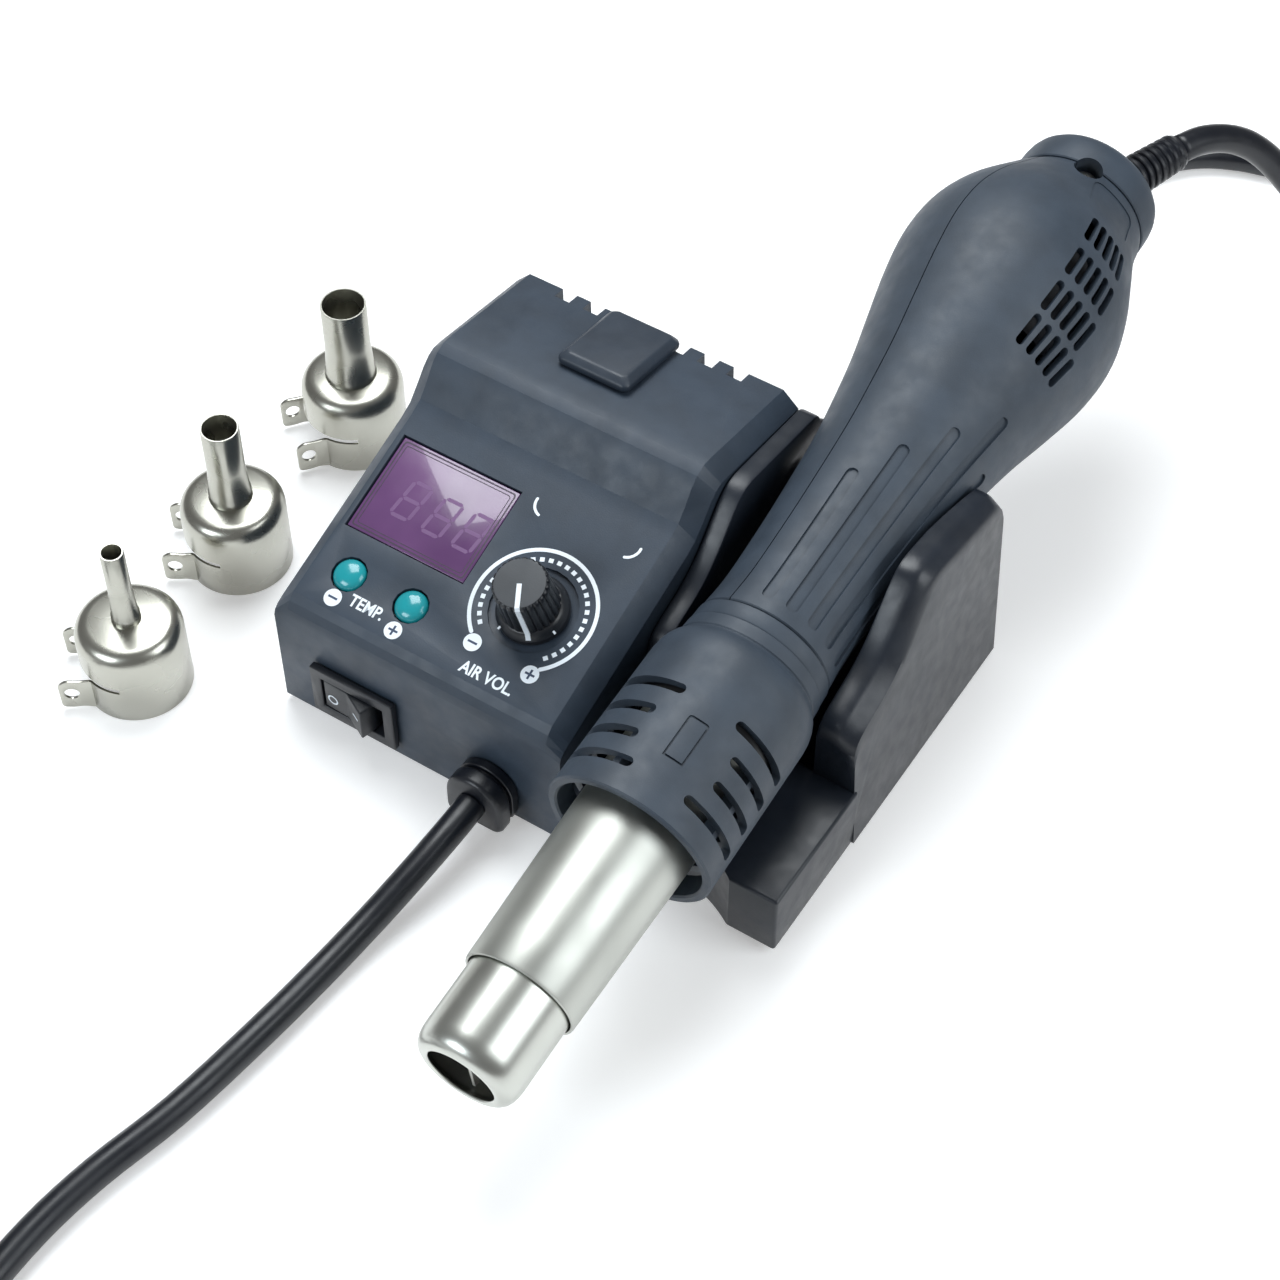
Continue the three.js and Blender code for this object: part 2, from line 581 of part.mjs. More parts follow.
function cradle() {
  const left = prism(WALL_SIDE, CRADLE_X0, CRADLE_LEFT_IN, SIDE);
  const right = loft([
    ringAt(CRADLE_RIGHT_IN, WALL_SIDE), ringAt(CRADLE_CREST_X, WALL_SIDE), leaning(WALL_OUTER_SIDE),
  ]);
  const shelf = box(CRADLE_X0, CRADLE_X1 - 0.4, CRADLE_FRONT_Y, SHELF_REAR_Y + 1, FOOT_H, SHELF_TOP);
  const floor = box(CRADLE_X0 + 2, CRADLE_RIGHT_IN + 2, SHELF_REAR_Y, 60, FOOT_H, 6.1);
  const saddle = box(CRADLE_X0 + 2, CRADLE_RIGHT_IN + 2, 52, CRADLE_REAR_Y, FOOT_H, 33);
  let body = join(left, right, shelf, floor, saddle);
  body = cut(body, handleSweep());
  body = cut(body, cylinder(30.9, 0, 30, 56, moved(WORLD, HANDLE_X - 1.5, -25.1, 0)));
  const rear = CRADLE_REAR_Y - 2.8;
  body = cut(body, box(CRADLE_X0 + 2, CRADLE_X1 - 2.1, 8.7, CRADLE_REAR_Y - 2.1, 0, 4.1));
  body = cut(body, box(CRADLE_X0 + 2.5, CRADLE_X1 - 3, 9, 29.8, 0, 13.2));
  body = cut(body, box(CRADLE_LEFT_IN + 2.2, CRADLE_RIGHT_IN - 1.9, 54, rear, 0, 24));
  body = cut(body, box(CRADLE_RIGHT_IN + 2, CRADLE_X1 - 3.6, 34, rear, 0, 31));
  for (const [y, z] of CRADLE_SCREWS) {
    const at = moved(SIDE, y, z, 0);
    body = cut(body, cylinder(1.8, CRADLE_X0 - 1.5, CRADLE_X0 + 8.5, 10, at),
      cylinder(3.1, CRADLE_LEFT_IN - 1.5, CRADLE_X0 + 8.5, 14, at));
  }
  return body;
}

function cradleParts() {
  addPart("cradle", cradle(), CRADLE);
  addPart("cradle_base", box(CRADLE_X0 + 2.3, CRADLE_X1 - 2.4, 9, CRADLE_REAR_Y - 2.4, 1.8, 3.8), CRADLE);
  CRADLE_SCREWS.forEach(([y, z], i) => {
    const at = moved(SIDE, y, z, 0);
    const head = cylinder(2.8, CRADLE_LEFT_IN - 1.2, CRADLE_LEFT_IN, 14, at);
    const screw = join(head, cylinder(1.5, CRADLE_X0 - 7.5, CRADLE_X0 + 3.5, 10, at));
    addPart(`cradle_screw_${i + 1}`, screw, STEEL);
  });
  addPart("reed_switch", box(CRADLE_X0 + 11.5, CRADLE_X0 + 31.5, 68, 76, 20, 23.7), BOARD);
}

// ---------------------------------------------------------------- handle
// Handle frame: local Z runs along the handle to its rear, local Y is world +X, local X is up.
const [SIN_H, COS_H] = [Math.sin(HANDLE_TILT), Math.cos(HANDLE_TILT)];
const HANDLE_FRAME = frame([HANDLE_X, 0, HANDLE_Z], [0, -SIN_H, COS_H], [1, 0, 0]);
// Outline of the slotted guard, then [station, radius, sideways shift] of the grip and bulb.
const GUARD_OUTLINE = [
  [-12, 18.5], [24, 18.2], [27.4, 17.6], [29.6, 16.5], [30.4, 15.7], [37.7, 15.4],
];
const SHELL_STATIONS = [
  [31.5, 13.3, 0], [37.9, 13.3, 0], [38, 15.2, 0], [46, 14.7, 0], [68, 15.6, 0],
  [86, 17.1, 0], [98, 18.9, 0], [119, 23.4, 0], [130, 25.8, 0.2], [140, 26.7, 0.9],
  [149, 25.4, 1.8], [157, 22.5, 2.1], [164.5, 18.8, 1.4], [170.3, 16.4, 0],
];
const SHIFT_UP = 0.37;
const SHIFT_SIDE = -0.93;

// A frame on the handle whose Z points outwards at an angle (degrees, from world +X upwards)
// and whose X runs along the handle.
function radial(t, degrees) {
  const a = THREE.MathUtils.degToRad(degrees);
  const out = new THREE.Vector3(Math.sin(a), Math.cos(a), 0);
  const along = new THREE.Vector3(0, 0, 1);
  const across = out.clone().cross(along);
  const local = new THREE.Matrix4().makeBasis(along, across, out).setPosition(0, 0, t);
  return HANDLE_FRAME.clone().multiply(local);
}

const SHELL_SIDES = 20;

function shellLoft(shrink, count, extend = 0) {
  const stations = SHELL_STATIONS.map(([t, r, shift]) => [t, r - shrink, shift]);
  if (extend) {
    stations.unshift([stations[0][0] - extend, stations[0][1], 0]);
    stations.push([stations.at(-1)[0] + extend, stations.at(-1)[1], 0]);
  }
  const rings = stations.map(([t, r, shift]) => circlePoints(r, count).map(([u, v]) => {
    return new THREE.Vector3(u + SHIFT_UP * shift, v + SHIFT_SIDE * shift, t);
  }));
  return loft(rings, HANDLE_FRAME);
}

const VENT_ROWS = [
  { t: 151.2, from: 58.8, to: 32.8 }, { t: 140.6, from: 57.8, to: 32.3 },
  { t: 130.8, from: 56.8, to: 30.3 }, { t: 121.8, from: 55.8, to: 25.8 },
];
const VENT_COLUMNS = 5;
const GRIP_GROOVES = [
  { angle: 93, to: 76 }, { angle: 72, to: 86 }, { angle: 51, to: 96 }, { angle: 30, to: 106 },
  { angle: 9, to: 96 }, { angle: -12, to: 86 }, { angle: -33, to: 76 },
];
const GROOVE_FROM = 41;
const GROOVE_W = 3.2;
const GROOVE_DEPTH = 0.6;

function ventTools() {
  const tools = [];
  for (const { t, from, to } of VENT_ROWS) {
    for (let i = 0; i < VENT_COLUMNS; i++) {
      const angle = from + ((to - from) * i) / (VENT_COLUMNS - 1);
      tools.push(prism(stadium(7.8, 1.9, 1), 15, 34, radial(t, angle)));
    }
  }
  return join(...tools);
}

function grooveTools() {
  const tools = GRIP_GROOVES.map(({ angle, to }) => {
    const middle = (GROOVE_FROM + to) / 2;
    return prism(stadium(to - GROOVE_FROM, GROOVE_W, 1), 9, 28, radial(middle, angle));
  });
  return cut(join(...tools), shellLoft(GROOVE_DEPTH, SHELL_SIDES));
}

function shellWhole() {
  const outer = shellLoft(0, SHELL_SIDES);
  const rings = [[127, 129], [143, 145]].map(([t0, t1]) => {
    return turned([[19.35, t0], [40, t0], [40, t1], [19.35, t1]], 16, HANDLE_FRAME).intersect(outer);
  });
  const walls = join(cut(outer, shellLoft(SHELL_WALL, 14, 3)), ...rings);
  const screwHole = cylinder(3.3, 8, 25, 10, radial(169.4, SCREW_ANGLE));
  return cut(walls, screwHole);
}

const SCREW_ANGLE = 81;

// Keeps one side of the parting plane, which holds the handle axis.
function halfSpace(side) {
  const at = radial(0, SEAM_ANGLE - 90);
  const [z0, z1] = side > 0 ? [GAP / 2, 60] : [-60, -GAP / 2];
  return box(0, 200, -60, 60, z0, z1, at);
}

function shellParts() {
  const whole = shellWhole();
  const vented = cut(whole.intersect(halfSpace(1)), ventTools(), grooveTools());
  addPart("shell_vented", vented, HANDLE);
  addPart("shell_plain", whole.intersect(halfSpace(-1)), HANDLE);
}

// ---------------------------------------------------------------- slotted guard
const GUARD_MARK_ANGLE = 78.4;
const SLOT_ROWS = [
  { t: -5.4, near: 20, far: 78 }, { t: 0.8, near: 30, far: 78 }, { t: 7, near: 30, far: 78 },
  { t: 13.3, near: 20, far: 78 },
];

function slotTools() {
  const tools = [];
  for (const half of [0, 180]) {
    for (const side of [1, -1]) {
      for (const { t, near, far } of SLOT_ROWS) {
        const angles = [near, far].map((a) => GUARD_MARK_ANGLE + half + side * a);
        tools.push(arcTool(Math.min(...angles), Math.max(...angles), t));
      }
    }
  }
  return join(...tools);
}

function arcTool(from, to, t) {
  const steps = 2;
  const points = [];
  for (let i = 0; i <= steps; i++) points.push(polar(23, from + ((to - from) * i) / steps));
  for (let i = steps; i >= 0; i--) points.push(polar(15.6, from + ((to - from) * i) / steps));
  return prism(points, t - 1.1, t + 1.1, HANDLE_FRAME);
}

function polar(r, degrees) {
  const a = THREE.MathUtils.degToRad(degrees);
  return [r * Math.sin(a), r * Math.cos(a)];
}

function guard() {
  const outer = GUARD_OUTLINE.map(([t, r]) => [r, t]);
  const inner = [[13.8, 37.7], [13.8, 31], [16.3, 26], [16.5, -12]];
  const body = turned([...outer, ...inner], 20, HANDLE_FRAME);
  const ribs = [20, 110, 200, 290].map((angle) => {
    return box(-9, 11, -0.8, 0.8, 13.4, 17, radial(0, angle));
  });
  const frameMark = cut(
    prism(stadium(11.4, 8.4, 1), 18, 19.5, radial(4.3, GUARD_MARK_ANGLE)),
    prism(stadium(10.4, 7.4, 1), 17, 20, radial(4.3, GUARD_MARK_ANGLE)),
  );
  return cut(join(cut(body, slotTools()), ...ribs), frameMark);
}

function heaterParts() {
  const tube = [[12.9, 20], [12.9, -12], [12.15, -49.2], [11.9, -49.7], [11.45, -49.7],
    [12.2, -12], [12.2, 20]];
  addPart("steel_tube", turned(tube, 20, HANDLE_FRAME), STEEL);
  const nose = [[NOZZLE_BORE_R, -44], [NOZZLE_BORE_R, -64.8], [10.6, -67], [9.6, -68.4],
    [8.2, -69], [7.4, -68.8], [7.4, -68.3], [9.4, -67.4], [10.2, -64.4], [10.4, -44]];
  addPart("nose_sleeve", turned(nose, 20, HANDLE_FRAME), STEEL);
  const collar = [[13.3, 12], [15.8, 16], [15.8, 21.4], [15.5, 25.5], [13.3, 25.5]];
  addPart("heat_collar", turned(collar, 20, HANDLE_FRAME), RUBBER);
  const core = [[5.5, -62], [9.3, -62], [9.3, 8], [11.7, 8], [11.7, 12], [9.3, 12], [9.3, 26],
    [5.5, 26]];
  addPart("heater_core", turned(core, 16, HANDLE_FRAME), CERAMIC);
  const strips = [0, 90].map((angle) => box(-66.2, -62.3, -9.2, 9.2, -0.3, 0.3, radial(0, angle)));
  addPart("mica_cross", join(...strips), CERAMIC);
}

// ---------------------------------------------------------------- handle rear and inside
const RELIEF_START = [HANDLE_X + 6.2, 184.2, 57.9];
const RELIEF_DIR = [0.37, 0.925, 0.085];
const RELIEF_LENGTH = 13.2;
const RELIEF_RIBS = 7;

function reliefFrame() {
  const z = new THREE.Vector3(...RELIEF_DIR).normalize();
  const x = new THREE.Vector3(0, 0, 1).projectOnPlane(z).normalize();
  const y = z.clone().cross(x);
  return frame(RELIEF_START, x.toArray(), y.toArray());
}

function endParts() {
  const at = reliefFrame();
  const outside = [[16.4, 170.6], [16.4, 175], [15.7, 178], [14, 179.7], [11, 180.5],
    [6, 180.9], [0, 181]];
  const inside = [[0, 178.4], [9.8, 178], [12.2, 176], [12.2, 164.5], [13.6, 164.5],
    [13.6, 170.6]];
  const boss = cylinder(4.4, 6.6, 13.2, 10, radial(169.4, SCREW_ANGLE));
  const hole = cylinder(3.3, 11.2, 25, 10, radial(169.4, SCREW_ANGLE));
  const pilot = cylinder(1.5, 7.6, 25, 8, radial(169.4, SCREW_ANGLE));
  const opening = cylinder(5.2, -12, 12, 12, at);
  const dome = turned([...outside, ...inside], SHELL_SIDES, HANDLE_FRAME);
  const cap = cut(join(dome, boss), hole, pilot, opening);
  addPart("end_cap", cap, HANDLE);
  const screwAt = radial(169.4, SCREW_ANGLE);
  addPart("cap_screw", join(cylinder(2.9, 11.5, 13.4, 14, screwAt),
    cylinder(1.2, 8.2, 12, 8, screwAt)), STEEL);
  addPart("strain_relief", strainRelief(at), RUBBER);
}

function strainRelief(at) {
  const profile = [[0, -9], [4.8, -9], [4.8, -3.2]];
  for (let i = 0; i < RELIEF_RIBS; i++) {
    const z = -2.4 + 2.1 * i;
    profile.push([4, z], [4.8, z + 1.05]);
  }
  profile.push([4, RELIEF_LENGTH], [0, RELIEF_LENGTH]);
  return turned(profile, 12, at);
}

const BLADES = 7;

function handleInside() {
  const casing = [[18, 124.5], [19, 124.5], [19, 148.5], [8.5, 148.5], [8.5, 147], [18, 147]];
  addPart("fan_casing", turned(casing, 16, HANDLE_FRAME), RUBBER);
  const motor = [[0, 126], [1, 126], [1, 139.6], [8, 139.6], [8, 156], [0, 156]];
  addPart("fan_motor", turned(motor, 14, HANDLE_FRAME), STEEL);
  const hub = turned([[1.3, 126.5], [5, 126.5], [5, 139], [1.3, 139]], 14, HANDLE_FRAME);
  const blades = Array.from({ length: BLADES }, (_, i) => {
    return box(127, 138.4, -0.5, 0.5, 4.5, 17, radial(0, (360 / BLADES) * i));
  });
  addPart("impeller", join(hub, ...blades), RUBBER);
  const reach = Math.sqrt((14.72 - SHELL_WALL) ** 2 - 7.6 ** 2);
  addPart("handle_board", box(-7.6, -6, -reach, reach, 58, 96, HANDLE_FRAME), BOARD);
  const magnetAt = radial(86, -90);
  addPart("magnet", cylinder(3.6, 12.6 - SHELL_WALL, 15.8 - SHELL_WALL, 12, magnetAt), STEEL);
}

// ---------------------------------------------------------------- nozzles
const CUP_R = 11.65;
const SHEET = 0.5;
const NOZZLES = [
  { name: "nozzle_small", x: -30, y: -13.2, mouth: 2.55, base: 2.85, tabs: 216 },
  { name: "nozzle_medium", x: -32.9, y: 26.1, mouth: 4.2, base: 4.5, tabs: 212 },
  { name: "nozzle_large", x: -32.9, y: 70.2, mouth: 5.15, base: 5.5, tabs: 232 },
];
const TUBE_TOP = 42;
const BAND_H = 10.4;
const TAB_OFFSET = 7.3;

function nozzle({ x, y, mouth, base, tabs }) {
  const at = moved(WORLD, x, y, 0, THREE.MathUtils.degToRad(tabs));
  const outside = [[CUP_R, 0], [CUP_R, 16], [11.3, 18.2], [10.4, 19.5], [8.6, 20.2],
    [base + 0.3, 20.6], [base, 21.6], [mouth, TUBE_TOP]];
  const inside = [[mouth - SHEET, TUBE_TOP], [base - SHEET, 20.2], [8.4, 19.7], [10.1, 18.9],
    [CUP_R - SHEET, 16.2], [CUP_R - SHEET, 0]];
  const cup = turned([...outside, ...inside], 18, at);
  const gapTool = box(4, 20, -TAB_OFFSET, TAB_OFFSET, -1, BAND_H, at);
  const slit = prism(sector(9, 14, -78, 78), BAND_H - 1.1, BAND_H, at);
  let body = cut(cup, gapTool, slit);
  const upright = at.clone().multiply(frame([0, 0, 0], [1, 0, 0], [0, 0, 1]));
  for (const side of [1, -1]) {
    const outer = side * (TAB_OFFSET + 0.35);
    const outline = [[8.4, 0.8], [12, 1.4], [13.8, 0.9], [15.9, 1.8], [15.9, 7.8], [14.9, 9.1],
      [8.4, 9]];
    const z = side > 0 ? -outer : TAB_OFFSET - 0.35;
    const tab = prism(outline, z, z + 0.7, upright);
    const hole = prism(circlePoints(1.6, 6).map(([u, v]) => [u + 13.2, v + 5.4]), z - 1, z + 2,
      upright);
    body = cut(join(body, tab), hole);
  }
  return body;
}

function sector(r0, r1, from, to) {
  const steps = 3;
  const at = (r, i) => {
    const a = THREE.MathUtils.degToRad(from + ((to - from) * i) / steps);
    return [r * Math.cos(a), r * Math.sin(a)];
  };
  const outerArc = Array.from({ length: steps + 1 }, (_, i) => at(r1, i));
  const innerArc = Array.from({ length: steps + 1 }, (_, i) => at(r0, steps - i));
  return [...outerArc, ...innerArc];
}

// ---------------------------------------------------------------- assembly
addPart("housing", housing(), HOUSING);
addPart("top_pad", topPad(), RUBBER);
baseParts();
panelParts();
switchParts();
cordParts();
cradleParts();
shellParts();
addPart("guard", guard(), HANDLE);
heaterParts();
endParts();
handleInside();
for (const spec of NOZZLES) addPart(spec.name, nozzle(spec), NICKEL);

// The origin is the bottom centre of everything but the free cords.
const FREE_CORDS = /^(mains_(cord|coil|tail|plug)|handle_cable|cable_coil|return_cable)$/;
const extent = new THREE.Box3();
for (const mesh of root.children) {
  if (!FREE_CORDS.test(mesh.name)) extent.expandByObject(mesh);
}
const middle = extent.getCenter(new THREE.Vector3());
root.position.set(-middle.x, -middle.y, 0);

export default root;
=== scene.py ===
# Hot air rework station: control box with a side cradle, hot air handle, cords and three nozzles.
import bpy
import bmesh
import math
from mathutils import Matrix, Vector


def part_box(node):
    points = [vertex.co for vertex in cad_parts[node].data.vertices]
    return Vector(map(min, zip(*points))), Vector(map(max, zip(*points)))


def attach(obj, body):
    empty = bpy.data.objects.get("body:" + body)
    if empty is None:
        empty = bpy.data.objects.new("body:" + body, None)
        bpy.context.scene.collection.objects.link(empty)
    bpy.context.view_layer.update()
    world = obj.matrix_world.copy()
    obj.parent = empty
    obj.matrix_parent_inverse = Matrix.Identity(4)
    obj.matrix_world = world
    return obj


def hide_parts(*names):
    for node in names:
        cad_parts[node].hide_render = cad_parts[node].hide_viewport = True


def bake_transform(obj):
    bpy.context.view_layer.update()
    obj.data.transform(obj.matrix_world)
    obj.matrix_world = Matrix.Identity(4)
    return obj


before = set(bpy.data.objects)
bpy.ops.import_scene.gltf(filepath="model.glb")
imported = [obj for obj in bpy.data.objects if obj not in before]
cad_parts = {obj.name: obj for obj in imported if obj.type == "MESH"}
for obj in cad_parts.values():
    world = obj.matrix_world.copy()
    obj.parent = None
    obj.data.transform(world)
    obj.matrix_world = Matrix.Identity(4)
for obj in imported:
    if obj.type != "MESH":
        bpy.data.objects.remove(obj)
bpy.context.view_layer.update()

# ------------------------------------------------------------------ places
# The station frame is in millimetres: x from the housing's left side, y from its front face,
# z up from the bench. The row frame, in metres, is the same one moved.
MM = 0.001
HOUSING_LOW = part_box("housing")[0]
ORIGIN = Vector((HOUSING_LOW[0], HOUSING_LOW[1], 0))
TO_ROW = Matrix.Translation(ORIGIN) @ Matrix.Scale(MM, 4)


def row(point):
    return TO_ROW @ Vector(point)


def frame_of(origin, x_axis, y_axis):
    x = Vector(x_axis).normalized()
    y = Vector(y_axis)
    y = (y - x * y.dot(x)).normalized()
    z = x.cross(y)
    m = Matrix((x, y, z)).transposed().to_4x4()
    m.translation = Vector(origin)
    return m


def shifted(matrix, x, y, z, turn=0.0):
    return matrix @ Matrix.Translation((x, y, z)) @ Matrix.Rotation(turn, 4, "Z")


PANEL_SLOPE = math.radians(18.2)
HANDLE_TILT = math.radians(6.67)
PANEL = frame_of((0, 1.5, 34.67), (1, 0, 0), (0, math.cos(PANEL_SLOPE), math.sin(PANEL_SLOPE)))
TOP_SLOPE = math.radians(11.4)
TOP = frame_of((0, 61.8, 59.5), (1, 0, 0), (0, math.cos(TOP_SLOPE), -math.sin(TOP_SLOPE)))
FRONT = frame_of((0, 0, 0), (1, 0, 0), (0, 0, 1))
HANDLE = frame_of((95, 0, 36.2), (0, -math.sin(HANDLE_TILT), math.cos(HANDLE_TILT)), (1, 0, 0))
WORLD = Matrix.Identity(4)


def radial(t, degrees):
    """Frame on the handle at station t: Z outwards at the angle, X along the handle."""
    a = math.radians(degrees)
    out = Vector((math.sin(a), math.cos(a), 0))
    along = Vector((0, 0, 1))
    return HANDLE @ frame_of((0, 0, t), along, out.cross(along))


# ------------------------------------------------------------------ camera
def add_camera():
    data = bpy.data.cameras.new("camera")
    data.lens = 77.7
    data.sensor_width = 36
    data.clip_start = 0.01
    data.clip_end = 20
    camera = bpy.data.objects.new("camera", data)
    bpy.context.scene.collection.objects.link(camera)
    camera.location = row((258.7, -262.4, 473.3))
    aim = row((64.63, 39.69, 21.5)) - camera.location
    camera.rotation_euler = aim.to_track_quat("-Z", "Y").to_euler()
    bpy.context.scene.camera = camera


add_camera()


# ------------------------------------------------------------------ mesh helpers
def new_object(name, mesh):
    obj = bpy.data.objects.new(name, mesh)
    bpy.context.scene.collection.objects.link(obj)
    return obj


def mesh_object(name, points, faces, matrix=WORLD):
    """Mesh from points in millimetres in the given frame, its faces turned outwards."""
    place = TO_ROW @ matrix
    mesh = bpy.data.meshes.new(name)
    mesh.from_pydata([place @ Vector(p) for p in points], [], faces)
    mesh.validate()
    tidy = bmesh.new()
    tidy.from_mesh(mesh)
    bmesh.ops.remove_doubles(tidy, verts=tidy.verts, dist=1e-7)
    bmesh.ops.recalc_face_normals(tidy, faces=tidy.faces)
    tidy.to_mesh(mesh)
    tidy.free()
    return new_object(name, mesh)


def loft(name, rings, matrix=WORLD, closed=False):
    """Skin through rings of equal count; flat ends unless the rings close on themselves."""
    n = len(rings[0])
    points = [p for ring in rings for p in ring]
    spans = len(rings) if closed else len(rings) - 1
    faces = []
    for r in range(spans):
        a, b = r * n, ((r + 1) % len(rings)) * n
        for i in range(n):
            j = (i + 1) % n
            faces.append((a + i, a + j, b + j, b + i))
    if not closed:
        last = (len(rings) - 1) * n
        faces.append(tuple(range(n - 1, -1, -1)))
        faces.append(tuple(range(last, last + n)))
    return mesh_object(name, points, faces, matrix)


def lathe(name, profile, matrix, segments=96):
    """Closed [radius, z] loop turned about the frame's Z."""
    rings = []
    for i in range(segments):
        a = 2 * math.pi * i / segments
        rings.append([(r * math.cos(a), r * math.sin(a), z) for r, z in profile])
    return loft(name, rings, matrix, closed=True)


def prism(name, outline, z0, z1, matrix):
    return loft(name, [[(x, y, z0) for x, y in outline], [(x, y, z1) for x, y in outline]], matrix)


def box_tool(x0, x1, y0, y1, z0, z1, matrix=WORLD):
    return prism("tool", [(x0, y0), (x1, y0), (x1, y1), (x0, y1)], z0, z1, matrix)


def circle(r, count, phase=0.0):
    turns = [phase + 2 * math.pi * i / count for i in range(count)]
    return [(r * math.cos(a), r * math.sin(a)) for a in turns]


def fillet(points, radius, steps=3):
    """Closed 2D outline with each corner rounded, by less where its sides are short."""
    rounded = []
    n = len(points)
    for i in range(n):
        p = Vector(points[i])
        before = Vector(points[i - 1]) - p
        after = Vector(points[(i + 1) % n]) - p
        reach = min(radius, 0.42 * before.length, 0.42 * after.length)
        if reach < 1e-3 or (p.x < 1e-6 and min(points[i - 1][0], points[(i + 1) % n][0]) < 1e-6):
            rounded.append((p.x, p.y))
            continue
        a = p + before.normalized() * reach
        b = p + after.normalized() * reach
        for k in range(steps + 1):
            u = k / steps
            q = a.lerp(p, u).lerp(p.lerp(b, u), u)
            rounded.append((q.x, q.y))
    return rounded


def bake(obj):
    """Applies the object's modifiers."""
    graph = bpy.context.evaluated_depsgraph_get()
    mesh = bpy.data.meshes.new_from_object(obj.evaluated_get(graph))
    obj.modifiers.clear()
    obj.data = mesh
    return obj


def joined(tools):
    """Several closed tools as one object."""
    whole = bmesh.new()
    for tool in tools:
        whole.from_mesh(tool.data)
        bpy.data.objects.remove(tool)
    mesh = bpy.data.meshes.new("tools")
    whole.to_mesh(mesh)
    whole.free()
    return new_object("tools", mesh)


def boolean(obj, tool, operation="DIFFERENCE"):
    step = obj.modifiers.new("boolean", "BOOLEAN")
    step.operation = operation
    step.object = tool
    step.solver = "EXACT"
    step.use_self = False
    bake(obj)
    bpy.data.objects.remove(tool)
    return obj


def soften(obj, width, angle=30, segments=3):
    """Rounds the edges sharper than the angle; width in millimetres."""
    step = obj.modifiers.new("bevel", "BEVEL")
    step.width = width * MM
    step.segments = segments
    step.limit_method = "ANGLE"
    step.angle_limit = math.radians(angle)
    step.use_clamp_overlap = True
    step.harden_normals = False
    return bake(obj)


def copy_of(node):
    """A clean copy of a CAD node's mesh, with its coplanar triangles merged."""
    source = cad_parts[node]
    mesh = source.data.copy()
    mesh.transform(source.matrix_world)
    tidy = bmesh.new()
    tidy.from_mesh(mesh)
    bmesh.ops.remove_doubles(tidy, verts=tidy.verts, dist=2e-6)
    bmesh.ops.dissolve_limit(
        tidy, angle_limit=math.radians(0.6), verts=tidy.verts, edges=tidy.edges
    )
    tidy.to_mesh(mesh)
    tidy.free()
    mesh.materials.clear()
    return new_object(node + "_fine", mesh)


def finish_piece(obj, look, body, stands_for=(), sharp=32):
    mesh = obj.data
    mesh.materials.clear()
    mesh.materials.append(look)
    mesh.shade_smooth()
    mesh.set_sharp_from_angle(angle=math.radians(sharp))
    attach(obj, body)
    if stands_for:
        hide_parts(*stands_for)
    return obj


def sweep(name, path, radius, sides=20):
    """Round tube along points in millimetres, with flat ends and no twist."""
    points = [Vector(p) for p in path]
    rings = []
    across = None
    for i, p in enumerate(points):
        tangent = (points[min(i + 1, len(points) - 1)] - points[max(i - 1, 0)]).normalized()
        if across is None:
            across = tangent.orthogonal().normalized()
        across = (across - tangent * across.dot(tangent)).normalized()
        up = tangent.cross(across)
        rings.append([p + across * u + up * v for u, v in circle(radius, sides)])
    return loft(name, rings)


def smooth_path(points, per_span=8):
    """Catmull-Rom curve through points, in millimetres."""
    p = [Vector(q) for q in points]
    p = [p[0] * 2 - p[1]] + p + [p[-1] * 2 - p[-2]]
    path = []
    for i in range(1, len(p) - 2):
        for k in range(per_span):
            u = k / per_span
            path.append(0.5 * (
                2 * p[i] + (p[i + 1] - p[i - 1]) * u
                + (2 * p[i - 1] - 5 * p[i] + 4 * p[i + 1] - p[i + 2]) * u ** 2
                + (3 * p[i] - p[i - 1] - 3 * p[i + 1] + p[i + 2]) * u ** 3))
    path.append(p[-2])
    return path


# ------------------------------------------------------------------ cords
MAINS_D = 6.4
CABLE_D = 6.5
COIL_R = 36
LAYER_RISE = 0.86  # height of the upper layer of turns, in cord diameters
MAINS_OUT = [
    (53.9, -7.5, 10), (53.9, -13, 9.8), (53.3, -20.5, 8.7), (52.2, -29, 6.8), (50.7, -39, 4.6),
    (49.2, -52, 3.4), (47.4, -70, 3.4), (44.2, -93, 3.4), (39.9, -111.5, 3.4), (37.8, -127, 3.4),
    (37.7, -143, 3.4), (38.9, -160, 3.4),
]
MAINS_TAIL = [
    (-50.9, -170, 3.4), (-51.3, -160.5, 3.5), (-51.7, -152, 4.4), (-51.9, -144.5, 5.8),
    (-52, -137.5, 6.9),
]
RELIEF_START = Vector((101.2, 184.2, 57.9))
RELIEF_AXIS = Vector((0.37, 0.925, 0.085)).normalized()
RELIEF_LENGTH = 13.2
CABLE_OUT = [
    tuple(RELIEF_START + RELIEF_AXIS * (RELIEF_LENGTH + 0.3)),
    (109, 202.6, 58.8), (112.7, 208.3, 57), (116.6, 212.7, 54), (120.6, 215.9, 49.8),
    (124.7, 218.2, 44.8), (128.8, 220, 39.4), (132.8, 221.7, 34), (136.8, 223.4, 28.9),
    (140.7, 225.1, 23.8), (144.6, 226.8, 18.8), (149, 228.6, 13.9), (154.2, 230.2, 9.5),
    (160.4, 231.2, 6.3), (167.6, 231.7, 4.3), (175, 231.9, 3.6),
]
